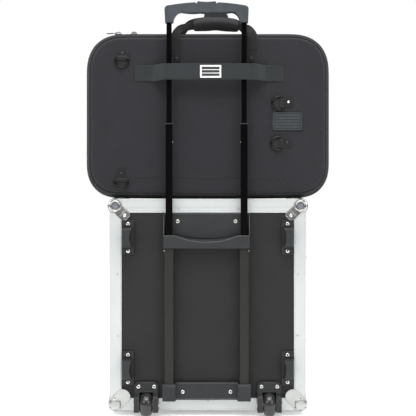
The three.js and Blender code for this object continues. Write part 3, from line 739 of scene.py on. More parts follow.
def build_label(mid_z, y):
    """A woven label with three plain bars."""
    width, height, thick = 52 * MM, 31 * MM, 0.8 * MM
    mid_x = 7 * MM
    bm = bmesh.new()
    lo = (mid_x - width / 2, y - thick, mid_z - height / 2)
    add_box(bm, lo, (mid_x + width / 2, y - 0.02 * MM, mid_z + height / 2))
    piece("label", bm, "label", "laptop_case", bevel=0.3 * MM)
    bm = bmesh.new()
    bars, bar, margin = 3, 6.4 * MM, 4 * MM
    pitch = (height - 2 * margin - bar) / (bars - 1)
    for i in range(bars):
        z = mid_z - height / 2 + margin + i * pitch
        add_box(bm, (mid_x - width / 2 + margin, y - thick - 0.25 * MM, z),
                (mid_x + width / 2 - margin, y - thick + 0.1 * MM, z + bar))
    piece("label_bars", bm, "ink", "laptop_case")


def build_rubber_patch():
    """A soft moulded patch with a raised rim and plain ribs. Its base takes a darker copy of the rubber, painted
    shade between the ribs.
    """
    lo, hi = Vector((162 * MM, 0, 713.5 * MM)), Vector((236 * MM, 0, 758 * MM))
    y = FACE_Y
    bm = bmesh.new()
    add_box(bm, (lo.x, y - 1.6 * MM, lo.z), (hi.x, y - 0.02 * MM, hi.z))
    piece("rubber_patch", bm, "patch_painted_shade", "laptop_case", bevel=0.5 * MM)
    bm = bmesh.new()
    rim = 2.6 * MM
    add_rim(bm, lo, hi, rim, y - 2.6 * MM, y - 1 * MM)
    painted_highlights, gap = 5, 2.4 * MM
    pitch = (hi.z - lo.z - 2 * rim - gap) / painted_highlights
    for i in range(painted_highlights):
        z = lo.z + rim + gap + i * pitch
        add_box(bm, (lo.x + rim + gap, y - 2.3 * MM, z),
                (hi.x - rim - gap, y - 1 * MM, z + pitch - gap))
    piece("rubber_patch_ribs", bm, "patch", "laptop_case", bevel=0.5 * MM)


RING_WIRE = 2.5 * MM
TAB_LENGTH = {"d_ring_top_left": 17 * MM, "d_ring_bottom_left": 30 * MM,
              "d_ring_right_upper": 29 * MM, "d_ring_right_lower": 28 * MM}


def build_ring(node):
    """A round-wire D-ring, and the webbing tab that is folded round its bar and sewn down."""
    joint = next(j for j in frame["joints"] if j["child"] == node.replace("d_ring", "ring"))
    body = joint["child"]
    pivot = Vector(joint["pos_m"])
    sideways = "right" in node
    bow, bar = (-X, Z) if sideways else (-Z, X)
    lo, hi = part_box(node)
    size = hi - lo
    half = (size.z if sideways else size.x) / 2 - RING_WIRE
    reach = (size.x if sideways else size.z) - 2 * RING_WIRE
    points = [pivot + bar * half, pivot + bar * half + bow * 4 * MM]
    straight = 4 * MM
    for i in range(1, 14):
        turn = math.pi * i / 14
        out = straight + (reach - straight) * math.sin(turn)
        points.append(pivot + bar * half * math.cos(turn) + bow * out)
    points += [pivot - bar * half + bow * 4 * MM, pivot - bar * half]
    points += [pivot - bar * half * k for k in (0.6, 0.2, -0.2, -0.6)]
    bm = bmesh.new()
    add_tube(bm, points, RING_WIRE, 12, closed=True)
    piece(f"{node}_wire", bm, "ring", body, replaces=(node,))
    wide = half * 1.45
    # A thin dark sheet on the case's face inside the ring's bow paints the shade there.
    bm = bmesh.new()
    painted_shade = []
    for y in (FACE_Y - 0.02 * MM, FACE_Y - 0.5 * MM):
        arc = [pivot - bar * half * math.cos(math.pi * k / 12) + bow * (2 * MM + reach * 0.86
               * math.sin(math.pi * k / 12)) for k in range(13)]
        painted_shade.append([Vector((p.x, y, p.z)) for p in arc])
    add_loft(bm, painted_shade)
    piece(f"{node}_pad", bm, "dark", "laptop_case")
    reach = RING_WIRE + 0.9 * MM
    line = [pivot - bow * TAB_LENGTH[node], pivot - bow * 8 * MM]
    seat = FACE_Y - 0.7 * MM
    for p in line:
        p.y = seat
    wrap = [pivot - Y * reach * math.sin(t) - bow * reach * math.cos(t) * 1.2
            for t in (math.pi * k / 6 for k in range(1, 6))]
    bm = bmesh.new()
    inner = pivot + bow * reach * 0.9
    inner.y = min(seat + 0.4 * MM, FACE_Y - 0.6 * MM)
    add_strip(bm, smooth_points(line + wrap + [inner], 4), bar, wide, 1.2 * MM)
    piece(f"{node}_tab", bm, "dark_webbing", "laptop_case")
    bm = bmesh.new()
    ends = [pivot - bow * TAB_LENGTH[node] * 0.9, pivot - bow * 9 * MM]
    y = seat - 0.7 * MM
    across = bar * wide * 0.4
    corners = [ends[0] - across, ends[0] + across, ends[1] + across, ends[1] - across]
    for p in corners:
        p.y = y
    stitch_loop(bm, corners, -Y)
    piece(f"{node}_stitching", bm, "thread", "laptop_case")
    centre = (ends[0] + ends[1]) / 2 + Z * (3 * MM if sideways else 0)
    centre.y = y
    bright = node == "d_ring_right_upper"
    fasteners(f"{node}_rivet", "laptop_case", add_rivet, [centre], -Y, 3.4 * MM,
              "zinc" if bright else "black_metal")


# ---------------------------------------------------------------- carry handles
HANDLE_X, HANDLE_HALF = 16 * MM, 96 * MM
HANDLE_LEAN = 44 * MM
HANDLE_WIDTH = 25 * MM


def handle_line(crown, side):
    """The webbing's centre line over the top of the case, from one sewn end to the other."""
    seat = 1.5 * MM
    leg = [(96, seat, 912), (96, seat, 927), (96, seat - 1 * MM, 944), (94, seat + 4 * MM, 958),
           (84, 22 * MM, 971), (62, 36 * MM, crown - 8), (32, HANDLE_LEAN, crown - 2)]
    points = [Vector((x * MM, y, z * MM)) for x, y, z in leg] + [Vector((0, HANDLE_LEAN, crown * MM))]
    points += [Vector((-p.x, p.y, p.z)) for p in points[-2::-1]]
    y_of = (lambda y: BACK + y) if side > 0 else (lambda y: 2 * MID_Y - BACK - y)
    return smooth_points([Vector((HANDLE_X + p.x, y_of(p.y), p.z)) for p in points], 6)


def line_frames(line, side):
    """Across-vectors of the webbing: it stays square to the case's face."""
    out = []
    for i in range(len(line)):
        along = (line[min(i + 1, len(line) - 1)] - line[max(i - 1, 0)]).normalized()
        out.append((Y * side).cross(along).normalized())
    return out


def build_carry_handle(name, crown, side, body):
    line = handle_line(crown, side)
    across = line_frames(line, side)
    bm = bmesh.new()
    gathered = [HANDLE_WIDTH * (1 - 0.26 * min(1, max(0, (p.z - 944 * MM) / (18 * MM)))) for p in line]
    add_strip(bm, line, across, gathered, 2.2 * MM)
    piece(f"carry_handle_{name}_webbing", bm, "dark_webbing", body,
          replaces=(f"carry_handle_{name}",))
    bm = bmesh.new()
    outer = -Y * side
    for s in (-1, 1):
        foot = Vector((HANDLE_X + s * (HANDLE_HALF - 3 * MM), line[0].y, 0))
        tail = [foot + Z * z * MM for z in (884, 900, 918)]
        add_strip(bm, tail, X, 16 * MM, 1.8 * MM)
    piece(f"carry_handle_{name}_tails", bm, "dark_webbing", body)
    bm = bmesh.new()
    for s in (-1, 1):
        x = HANDLE_X + s * HANDLE_HALF
        y = line[0].y + outer.y * 1.2 * MM
        lo = Vector((x - 9 * MM, y, 915 * MM))
        wide, tall = X * 18 * MM, Z * 24 * MM
        stitch_loop(bm, [lo, lo + wide, lo + wide + tall, lo + tall], outer)
    piece(f"carry_handle_{name}_stitching", bm, "thread", body)
    points = [Vector((HANDLE_X + s * (HANDLE_HALF - 3 * MM), line[0].y + outer.y * 0.9 * MM, 893 * MM))
              for s in (-1, 1)]
    fasteners(f"carry_handle_{name}_rivets", body, add_rivet, points, outer, 3.4 * MM, "black_metal")
    return line


def build_wrap(name, line, side, body, replaced, reach, size, look="padding"):
    """The padded grip: a fat sleeve with puckered ends and two rows of stitching along it."""
    span = [i for i in range(len(line)) if abs(line[i].x - HANDLE_X - 4 * MM) < reach]
    rings = []
    sides = 20
    for k, i in enumerate(span):
        s = 2 * k / (len(span) - 1) - 1
        swell = (0.66 + 0.34 * max(0.0, 1 - abs(s) ** 7)) * (1 - 0.03 * math.cos(9 * s))
        p = line[i]
        ring = []
        for j in range(sides):
            t = 2 * math.pi * j / sides
            c, n = math.cos(t), math.sin(t)
            pucker = 0.05 * math.cos(7 * t) * abs(s) ** 6
            flatten = 1 + 0.1 * math.cos(4 * t) + pucker
            ring.append(p + Y * side * size[0] * c * swell * flatten + Z * size[1] * n * swell * flatten)
        rings.append(ring)
    bm = bmesh.new()
    ends = [rings[0], rings[-1]]
    first = [p * 0.5 + line[span[0]] * 0.5 + X * 2 * MM * (1 if line[0].x < line[-1].x else -1)
             for p in ends[0]]
    last = [p * 0.5 + line[span[-1]] * 0.5 - X * 2 * MM * (1 if line[0].x < line[-1].x else -1)
            for p in ends[1]]
    add_loft(bm, [first] + rings + [last])
    painted_shade = piece(name, bm, look, body, replaces=replaced)
    painted_shade.modifiers.new("round", "SUBSURF").levels = 1
    bm = bmesh.new()
    flap = []
    for i in span[2:-2]:
        p = line[i]
        flap.append(p - Y * side * size[0] * 1.03 - Z * size[1] * 0.42)
    for dz in (0, 3.0):
        for a, b in zip(flap[:-1], flap[1:]):
            add_stitches(bm, a + Z * dz * MM, b + Z * dz * MM, -Y * side)
    piece(f"{name}_stitching", bm, "thread", body)
    return painted_shade


# ---------------------------------------------------------------- zip sliders
def build_slider(node, body, hang):
    """A cast slider with its bridge, and a puller on the bridge."""
    lo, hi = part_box(node)
    joint = next(j for j in frame["joints"] if j["child"] == body)
    if joint["type"] == "hinge":
        pivot = Vector(joint["pos_m"])
        out = Vector((hi.x - 9.5 * MM, 0, hi.z - 8 * MM)) - Vector((pivot.x, 0, pivot.z))
        out = out.normalized()
    else:
        out = Z.copy()
    along = Vector((out.z, 0, -out.x))
    foot_z = lo.z - 0.8 * MM if joint["type"] == "slide" else hi.z - 8.3 * MM
    foot = Vector((hi.x - 9 * MM, MID_Y, foot_z))
    turn = Matrix((along, Y, out)).transposed()
    def put(points):
        return [foot + turn @ Vector(p) * MM for p in points]
    bm = bmesh.new()
    ring = lambda z, k: put([(-9 * k, -3, z), (-6 * k, -6 * k, z), (3, -6 * k, z), (9 * k, -4 * k, z),
                             (9 * k, 4 * k, z), (3, 6 * k, z), (-6 * k, 6 * k, z), (-9 * k, 3, z)])
    add_loft(bm, [ring(0.9, 0.94), ring(1.3, 1), ring(3.2, 1), ring(4.6, 0.84)])
    bridge = put([(-5.5, 0, 4.2), (-4.6, 0, 7.2), (-2, 0, 8.2), (2, 0, 8.2), (4.6, 0, 7.2), (5.5, 0, 4.2)])
    add_tube(bm, smooth_points(bridge, 3), 1.3 * MM, 8)
    piece(f"{node}_casting", bm, "gun_metal", body, bevel=0.4 * MM,
          replaces=(node,))
    bm = bmesh.new()
    if hang:
        loop = put([(-1, -1, 6), (1, -6, 6.2), (2, -12, 4), (3, -22, 0), (5, -34, -7)])
        add_tube(bm, smooth_points(loop, 4), 1.2 * MM, 8)
    else:
        add_tube(bm, smooth_points(put([(-4, 0, 6.2), (-10, 0, 6.2), (-16, 0, 5.8)]), 3), 1.1 * MM, 8)
        tab = lambda x, k: put([(x, -3.6 * k, 4.8), (x, 3.6 * k, 4.8), (x, 3.6 * k, 7), (x, -3.6 * k, 7)])
        add_loft(bm, [tab(-13, 0.7), tab(-16, 1), tab(-28, 1), tab(-30, 0.7)])
    piece(f"{node}_puller", bm, "gun_metal", body, bevel=0.3 * MM)


def build_laptop_case():
    halves = (("rear", 1, "laptop_case"), ("front", -1, "laptop_case_front"))
    for name, side, body in halves:
        build_shell(name, side, body)
        build_piping(name, side, body)
        build_zip_teeth(name, side, body)
    build_spine()
    build_moulded_line()
    build_sleeve_strap()
    build_rubber_patch()
    for node in TAB_LENGTH:
        build_ring(node)
    rear = build_carry_handle("rear", 986, 1, "laptop_case")
    front = build_carry_handle("front", 1001, -1, "laptop_case_front")
    build_wrap("handle_wrap", rear, 1, "laptop_case", ("carry_handle_wrap",), 61 * MM,
               (12.5 * MM, 16 * MM))
    build_wrap("front_handle_wrap", front, -1, "laptop_case_front", (), 34 * MM, (11 * MM, 20 * MM),
               "dark_padding")
    build_slider("zip_slider_left", "zip_left", False)
    build_slider("zip_slider_right", "zip_right", True)


build_laptop_case()

# ---------------------------------------------------------------- flight case
CASE_HALF = 245 * MM
EDGE_Y = -1.8 * MM  # the back face of the aluminium, behind the panel's face
CASE_TOP, CASE_BOTTOM = 542 * MM, 15 * MM
BALL_INSET = 14 * MM


def ball_centre(side, up):
    """The middle of a pressed ball."""
    z = CASE_TOP - BALL_INSET - 4 * MM if up > 0 else CASE_BOTTOM + BALL_INSET
    return Vector((side * (CASE_HALF - BALL_INSET), BACK + EDGE_Y + BALL_INSET, z))


# (radius, height) of a pressed ball from its face to its far side, in millimetres.
TOP_DOME = [(0, 14.6), (7.4, 14.8), (8.6, 15.6), (9.4, 17.4), (10.4, 19.2), (12.2, 20.3), (14.0, 19.8),
            (15.2, 18.0), (16.0, 15.8), (17.4, 13.6), (19.0, 9.6), (20.2, 5.0), (20.5, 0),
            (19.9, -5.0), (18.2, -9.4), (15.8, -13.0), (0, -14)]
BOTTOM_DOME = [(0, 18.4), (9.0, 18.3), (11.6, 17.9), (12.8, 16.8), (13.6, 15.9), (15.6, 14.4), (17.4, 11.6),
               (18.8, 7.4), (19.5, 2.6), (19.5, -2.6), (18.6, -7.6), (16.8, -11.4), (14.6, -13.6), (0, -14)]


def add_lobe(bm, start, along, across, normal, half, reach, tip, lift):
    """A pressed tongue with a raised rim, from the ball to its rounded end."""
    steps = 12
    def outline(inset, height):
        w, r = half - inset, tip - inset
        end = reach - inset
        points = [(0, -w), (end - r, -w)]
        for i in range(1, steps):
            t = -math.pi / 2 + math.pi / 2 * i / steps
            points.append((end - r + r * math.cos(t), -(w - r) + r * math.sin(t)))
        for i in range(steps):
            t = math.pi / 2 * i / steps
            points.append((end - r + r * math.cos(t), (w - r) + r * math.sin(t)))
        points += [(end - r, w), (0, w)]
        return [start + along * u * MM + across * v * MM + normal * height * MM for u, v in points]
    add_loft(bm, [outline(0, 0), outline(0, lift), outline(0.5, lift + 0.5), outline(1.6, lift + 0.5),
                  outline(2.2, lift)])


def build_ball_corner(level, up, name, side):
    node = f"ball_corner_{level}_{name}"
    centre = ball_centre(side, up)
    bm = bmesh.new()
    top = up > 0
    dome = TOP_DOME if top else BOTTOM_DOME
    half, reach, tip = (14, 44, 8) if top else (19, 46, 19)
    outer = {"y": (-Y, BACK + EDGE_Y), "x": (X * side, side * CASE_HALF),
             "z": (Z * up, CASE_TOP if top else CASE_BOTTOM)}
    inward = {"y": Y, "x": X * -side, "z": Z * -up}
    for axis, (normal, plane) in outer.items():
        index = "xyz".index(axis)
        start = centre.copy()
        start[index] = plane
        along = sum((v for key, v in inward.items() if key != axis), Vector()).normalized()
        across = normal.cross(along)
        far = 38 if (axis == "z" and top) else reach
        add_lobe(bm, start, along, across, normal, half, far, tip, 1.3)
    piece(f"{node}_pressing", bm, "nickel" if top else "bright", "flight_case",
          replaces=(node,))
    split = 9 if top else 6  # where the ring meets the ball's flank
    bm = bmesh.new()
    add_turned(bm, dome[:split + 1] + [(0, dome[split][1])], centre, -Y)
    piece(f"{node}_ring", bm, "nickel" if top else "bright", "flight_case")
    # On the top corners the flank takes a darker copy of the nickel, a painted dark reflection round the bright
    # ring.
    bm = bmesh.new()
    add_turned(bm, [(0, dome[split][1] - 0.1)] + dome[split:], centre, -Y)
    piece(f"{node}_ball", bm, "flank" if top else "bright", "flight_case")
    tip_at = centre.copy()
    tip_at.y = BACK + EDGE_Y - 1.8 * MM
    diagonal = Vector((-side, 0, -up)).normalized()
    if top:
        fasteners(f"{node}_rivet", "flight_case", add_rivet, [tip_at + diagonal * 33.5 * MM], -Y, 4.6 * MM)
        bm = bmesh.new()
        across = Vector((-diagonal.z, 0, diagonal.x))
        for gap in (24.5, 27.0):
            a = tip_at + diagonal * gap * MM - across * 10.5 * MM
            b = tip_at + diagonal * gap * MM + across * 10.5 * MM
            add_tube(bm, [a, (a + b) / 2 - Y * 0.5 * MM, b], 0.8 * MM, 8)
        piece(f"{node}_fold", bm, "nickel", "flight_case")
        # A dark disc in the dimple at the ball's middle is a painted dark reflection.
        bm = bmesh.new()
        add_turned(bm, [(0, 14.3), (8.7, 14.3), (8.7, 15.3), (5.5, 15.6), (2.5, 16.4), (0, 16.6)], centre, -Y)
        piece(f"{node}_painted_pit_reflection", bm, "marks_and_painted_reflection", "flight_case")
    else:
        bm = bmesh.new()
        for k in range(6):
            t = math.pi / 6 + math.pi / 3 * k
            spoke = Vector((math.cos(t), 0, math.sin(t)))
            place = centre + spoke * 13.8 * MM - Y * 15.0 * MM
            add_turned(bm, [(0, 0), (2.3, 0), (2.0, 1.6), (0, 1.9)], place, -Y, 10)
        piece(f"{node}_marks", bm, "marks_and_painted_reflection", "flight_case")


def build_lid_corners():
    """Plainer ball corners at the four front corners of the lid."""
    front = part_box("lid_shell")[1].y
    for level, up in LEVELS:
        for name, side in SIDES:
            z = (CASE_TOP - 19 * MM) if up > 0 else CASE_BOTTOM + 16 * MM
            centre = Vector((side * 229 * MM, front - 15 * MM, z))
            bm = bmesh.new()
            for normal, index, plane in ((Y, 1, front + 1.6 * MM), (X * side, 0, side * 244.8 * MM)):
                start = centre.copy()
                start[index] = plane
                across_dir = X * -side if index == 1 else -Y
                along = (across_dir + Z * -up).normalized()
                add_lobe(bm, start, along, normal.cross(along), normal, 14, 40, 8, 1.2)
                add_turned(bm, [(0, 16.6), (9, 17), (14, 15.4), (17.4, 11), (18.6, 5), (18.6, 0), (0, 0)],
                         centre, normal)
            piece(f"lid_corner_{level}_{name}", bm, "nickel", "lid")


def build_edge_trim():
    """Rolled lines along the aluminium, the raised inner lip, and its rivets, in a darker, matte copy of the
    aluminium that paints the shade of the grooves and round the rivets.
    """
    y = EDGE_Y / MM
    half = CASE_HALF / MM

    def level(reach, lines):
        return [((-reach, y, z), (reach, y, z), r) for z, r in lines]

    upright = [(s * (half - inset), r) for s in (-1, 1) for inset, r in ((3.0, 0.5), (27.2, 0.5), (29.2, 0.9))]
    edges = {
        "top": level(214, ((540.3, 0.9), (537.2, 0.5), (522.6, 0.5), (520.4, 0.5), (512.5, 0.5), (508.6, 1.0))),
        "side": [((x, y, 46), (x, y, 506), r) for x, r in upright],
        "bottom": level(122, ((44.2, 0.7), (17.5, 0.7))),
    }
    for name, lines in edges.items():
        bm = bmesh.new()
        for a, b, r in lines:
            add_bead(bm, a, b, r)
        piece(f"{name}_edge_lines", bm, "line", "flight_case")
    places = ((-225.5, 354), (-225, 200.5), (224.6, 354), (223.3, 200.5), (-71.5, 516.6), (75, 516.6),
              (0.5, 39))
    points = [at(x, y, z) for x, z in places]
    fasteners("edge_rivets", "flight_case", add_rivet, points, -Y, 3.3 * MM, "line")


RIVET_HEIGHTS = (70, 150, 235, 320, 405, 490)


def build_side_rivets():
    """Rivets through both closing frames, down the sides."""
    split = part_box("base_closing_frame")[1].y
    for name, side in SIDES:
        for part, body, dy in (("base", "flight_case", -12), ("lid", "lid", 13)):
            points = [Vector((side * CASE_HALF, split + dy * MM, z * MM)) for z in RIVET_HEIGHTS]
            fasteners(f"{part}_frame_rivets_{name}", body, add_rivet, points, X * side, 3.1 * MM,
                      "aluminium")


def block_ring(origin, y, inner_bulge, w, l, turn):
    """One slice of a skid block: straight outside, and curved in towards the middle inside."""
    outline = []
    steps = 10
    for i in range(steps + 1):
        v = -1 + 2 * i / steps
        outline.append((w[1] - inner_bulge * (1 - v * v), v * l))
    for v in (1, -1):
        outline.append((w[0], v * l))
    return [Vector((p[0] * turn, y, p[1])) + origin for p in outline]


def build_skid_foot(level, name, side):
    """A screwed plate with a block that is waisted on the inner side and stepped at both ends."""
    node = f"skid_foot_{level}_{name}"
    lo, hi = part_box(node)
    middle = (lo + hi) / 2
    back, seat = lo.y, hi.y
    half_l = (hi.z - lo.z) / 2
    plate_y = seat - 4 * MM
    bm = bmesh.new()
    add_box(bm, (lo.x, plate_y, lo.z), (hi.x, seat, hi.z))
    add_rim(bm, lo, hi, 1.4 * MM, plate_y - 1.2 * MM, plate_y + 0.5 * MM)
    piece(f"{node}_plate", bm, "nylon", "flight_case", bevel=0.8 * MM,
          replaces=(node,))
    bm = bmesh.new()
    origin = Vector((middle.x, 0, middle.z))
    turn = -side  # +x towards the middle of the case
    rings = []
    for depth, w0, w1, l, bulge in ((0.0, -14.4, 12.0, 25.0, 4.4), (6, -14.2, 12.0, 24.6, 4.4),
                                    (24, -13.4, 11.8, 23.2, 4.4), (32, -12.6, 11.4, 22.0, 4.4),
                                    (34.6, -11.2, 10.2, 20.6, 4.2), (35.9, -9.6, 8.8, 19, 4.0)):
        y = plate_y - depth * MM
        ring = block_ring(origin, y, bulge * MM, (w0 * MM, w1 * MM), l * MM, turn)
        rings.append(ring if turn > 0 else ring[::-1])
    add_loft(bm, rings)
    piece(f"{node}_block", bm, "nylon", "flight_case", bevel=0.8 * MM, angle=45)
    bm = bmesh.new()
    for k in range(-2, 3):
        z = middle.z + k * 8.4 * MM
        x0 = middle.x - turn * 10.6 * MM
        x1 = middle.x + turn * (0.4 + 0.5 * k * k) * MM
        add_tube(bm, [Vector((x0, back + 1.2 * MM, z)), Vector((x1, back + 1.2 * MM, z))], 1.2 * MM, 8)
    piece(f"{node}_ridges", bm, "nylon", "flight_case")
    reach = half_l - 9.5 * MM
    points = [Vector((middle.x + turn * 0.3 * MM, plate_y, middle.z + s * reach)) for s in (-1, 1)]
    fasteners(f"{node}_screws", "flight_case", add_screw, points, -Y, 5.3 * MM)


def build_wheel(name):
    """A moulded wheel: rounded ribbed tread over a hub with a cap on both faces."""
    node = f"wheel_{name}"
    lo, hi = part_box(node)
    centre = (lo + hi) / 2
    radius, half = (hi.z - lo.z) / 2, (hi.x - lo.x) / 2
    bm = bmesh.new()
    flank = radius - 11 * MM
    bore = 4.35 * MM
    profile = [(bore, -half + 1 * MM), (flank - 7 * MM, -half + 1 * MM), (flank - 4 * MM, -half + 2.4 * MM),
               (flank - 1 * MM, -half + 1.2 * MM), (flank, -half + 0.2 * MM)]
    steps = 22
    for i in range(1, steps):
        t = math.pi * (i / steps - 0.5)
        rib = 0.28 * MM * (1 if i % 2 else -1) if 3 < i < steps - 3 else 0
        profile.append((flank + (radius - flank - 0.3 * MM) * math.cos(t) + rib, half * math.sin(t)))
    profile += [(r, -h) for r, h in profile[4::-1]]
    profile.append(profile[0])
    add_lathe(bm, profile, centre, X, 56)
    piece(f"{node}_tyre", bm, "tread", node, replaces=(node,))
    bm = bmesh.new()
    for s in (-1, 1):
        for k in range(6):
            t = math.pi / 3 * k
            spoke = Vector((0, math.cos(t), math.sin(t)))
            a = centre + X * s * (half - 0.9 * MM) + spoke * 6 * MM
            b = centre + X * s * (half - 0.9 * MM) + spoke * (flank - 7 * MM)
            add_tube(bm, [a, b], 0.9 * MM, 6)
    piece(f"{node}_spokes", bm, "tread", node)


def build_housing(name):
    """Screws, axle caps, and thin ribs of a wheel's corner housing, in a lighter copy of the nylon that paints
    highlights on its ledges and top edge.
    """
    node = f"wheel_housing_{name}"
    lo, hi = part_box(node)
    mid = (lo.x + hi.x) / 2 / MM
    points = [at(mid + s * 19.5, -7, 74) for s in (-1, 1)]
    fasteners(f"{node}_screws", "flight_case", add_screw, points, -Y, 5.3 * MM)
    bm = bmesh.new()
    for s in (-1, 1):
        add_bead(bm, (mid + s * 29, -24.2, 51), (mid + s * 17.6, -24.2, 51), 1.1)
        add_bead(bm, (mid + s * 17.2, -28, 14), (mid + s * 17.2, -28, 46), 0.8)
    for y, z in ((-7, 83.5), (-9.5, 61.3)):
        add_bead(bm, (mid - 16, y, z), (mid + 16, y, z), 0.8)
    piece(f"{node}_ribs", bm, "bead", "flight_case")
    bm = bmesh.new()
    for s in (-1, 1):
        cap = [(0, 0), (6, 0), (6, 1.2), (4.6, 2.2), (0, 2.6)]
        add_turned(bm, cap, at(mid + s * 30, -10, 30), X * s, 20)
    piece(f"{node}_axle_caps", bm, "zinc", "flight_case")


# ---------------------------------------------------------------- trolley handle
TROLLEY_X, TUBE_X = -3, 93  # millimetres
DIP_HALF = ((78, 0), (66, 0.28), (42, 0.75), (20, 0.95), (0, 1))  # (across, share of the dip)
POCKET_DIP = [(-x, share) for x, share in DIP_HALF] + list(DIP_HALF[-2::-1])


def build_brackets():
    """Screws of the pocket bracket and of the bottom bracket, and thin beads in a lighter copy of the nylon that
    paint highlights along their edges.
    """
    points = [at(TROLLEY_X + s * 72, -4, 486) for s in (-1, 1)]
    fasteners("top_bracket_screws", "flight_case", add_flush_screw, points, -Y, 5.0 * MM)
    bm = bmesh.new()
    for s in (-1, 1):
        profile = ((-1.5, 505.5), (-4, 503), (-18, 499.4), (-30.5, 459), (-31.6, 452))
        add_tube(bm, [at(TROLLEY_X + s * 105.8, y, z) for y, z in profile], 1.1 * MM, 8)
    add_bead(bm, (TROLLEY_X - 104, -3.6, 504.6), (TROLLEY_X + 104, -3.6, 504.6), 1.2)
    y = (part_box("trolley_top_bracket")[0].y - BACK) / MM + 0.7
    lip = [(-106, 450.6), (-80, 450.6), (-66, 446), (-42, 438.8), (-20, 435.7), (0, 434.9), (20, 435.7),
           (42, 438.8), (66, 446), (80, 450.6), (106, 450.6)]
    add_tube(bm, smooth_points([at(TROLLEY_X + x, y, z - 0.6) for x, z in lip], 3), 1.1 * MM, 8)
    piece("top_bracket_painted_highlights", bm, "bead", "flight_case")
    build_scoop()
    points = [at(TROLLEY_X + s * 59.5, -12, 62.5) for s in (-1, 1)]
    fasteners("bottom_bracket_screws", "flight_case", add_screw, points, -Y, 5.2 * MM)
    bm = bmesh.new()
    for z in (83.5, 45.5):
        add_bead(bm, (TROLLEY_X - 76, -12.2, z), (TROLLEY_X + 76, -12.2, z), 1)
    for s in (-1, 1):
        x = TROLLEY_X + s * TUBE_X
        for z in (81.6, 77.4):
            add_bead(bm, (x - 15.6, -30.1, z), (x + 15.6, -30.1, z), 0.8)
    piece("bottom_bracket_painted_highlights", bm, "bead", "flight_case")


def build_scoop():
    """The curved wall behind the pocket's bar, which guides the grip in."""
    loops = []
    for y, lift in ((-5, 9), (-9, 4), (-14, 1), (-20, 0.2)):
        row = [at(TROLLEY_X + x, y, 450.2 - 15.5 * share + lift * (0.4 + 0.6 * share))
               for x, share in POCKET_DIP]
        loops.append(row + [p - Z * 6 * MM for p in row[::-1]])
    bm = bmesh.new()
    add_loft(bm, loops)
    piece("pocket_scoop", bm, "nylon", "flight_case")


def build_lock_pins():
    """Spring pins that hold the stages: two near the collars, low enough to pass inside the
    channels, and two below the pocket."""
    middle = [(0, -0.4), (2.3, -0.4), (2.3, 0.5), (1.6, 0.9), (0, 1.0)]
    channel = [(0, -1), (2.4, -1), (2.4, 1.2), (1.7, 2.2), (0, 2.5)]
    for name, profile, x, y, z, way, body in (
            ("middle", middle, TUBE_X - 8.5, -20, 682, -1, "middle_stage"),
            ("channel", channel, 103.6, -18, 413.4, 1, "flight_case")):
        bm = bmesh.new()
        for s in (-1, 1):
            add_turned(bm, profile, at(TROLLEY_X + s * x, y, z), X * s * way, 14)
        piece(f"{name}_lock_pins", bm, "zinc", body)


def build_grip_details():
    """Beads down the grip's arms and ridges on the release button."""
    y = (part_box("grip_rear_half")[0].y - BACK) / MM + 0.3
    bm = bmesh.new()
    for s in (-1, 1):
        x = TROLLEY_X + s * 98.8
        add_bead(bm, (x, y, 979), (x, y, 1008), 0.8)
    piece("grip_beads", bm, "grip", "upper_stage")
    bm = bmesh.new()
    lo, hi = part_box("release_button")
    for k in range(-3, 4):
        x = (lo.x + hi.x) / 2 + k * 5 * MM
        z = hi.z - (1.7 - 0.09 * k * k) * MM
        add_tube(bm, [Vector((x, y, z)) for y in (lo.y + 4 * MM, hi.y - 4 * MM)], 0.7 * MM, 6)
    piece("button_ridges", bm, "grip", "release")


def build_hardware():
    """Rivets on the hinge and the latch plates, and a stud on each latch handle."""
    split = (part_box("hinge_leaf_base")[1].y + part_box("hinge_leaf_lid")[0].y) / 2
    for node, body, dy in (("hinge_leaf_base", "flight_case", -11), ("hinge_leaf_lid", "lid", 11)):
        points = [Vector((-246.8 * MM, split + dy * MM, z * MM)) for z in (116, 188, 260, 332, 404, 440)]
        fasteners(f"{node}_screws", body, add_rivet, points, -X, 3.4 * MM)
    for level in ("lower", "upper"):
        lo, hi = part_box(f"latch_plate_{level}")
        corners = [Vector((hi.x, y, z)) for y in (lo.y + 6 * MM, hi.y - 6 * MM)
                   for z in (lo.z + 6 * MM, hi.z - 6 * MM)]
        fasteners(f"latch_plate_{level}_rivets", "flight_case", add_rivet, corners, X, 3 * MM)
        lo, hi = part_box(f"latch_handle_{level}")
        middle = (lo + hi) / 2
        bm = bmesh.new()
        stud = [(0, 0), (4, 0), (4, 1.2), (2.8, 2), (0, 2.2)]
        add_turned(bm, stud, Vector((hi.x - 1 * MM, middle.y, middle.z)), X, 20)
        piece(f"latch_handle_{level}_stud", bm, "zinc", f"latch_{level}")


def build_linings():
    """Foam inside the base and the lid."""
    thick, gap, half = 6 * MM, 0.6 * MM, 235 * MM
    low, high = 70 * MM, 532 * MM
    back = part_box("back_panel")[1].y
    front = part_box("base_closing_frame")[0].y - gap
    bm = bmesh.new()
    wall = back + gap + 20 * MM  # clear of the wheel housings
    add_box(bm, (0.5 * MM - half, wall, low), (half - 0.5 * MM, wall + thick, high))
    add_box(bm, (0.5 * MM - half, back + 28 * MM, low), (thick - half, front, high))
    add_box(bm, (half - thick, back + 28 * MM, low), (half - 0.5 * MM, front, high))
    base = piece("base_lining", bm, "foam", "flight_case", bevel=1.5 * MM)
    lo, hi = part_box("lid_shell")
    board = 7.6 * MM
    bm = bmesh.new()
    add_box(bm, (lo.x + 8 * MM, hi.y - board - thick, 25.5 * MM), (hi.x - 8 * MM, hi.y - board, high))
    lid = piece("lid_lining", bm, "foam", "lid", bevel=1.5 * MM)


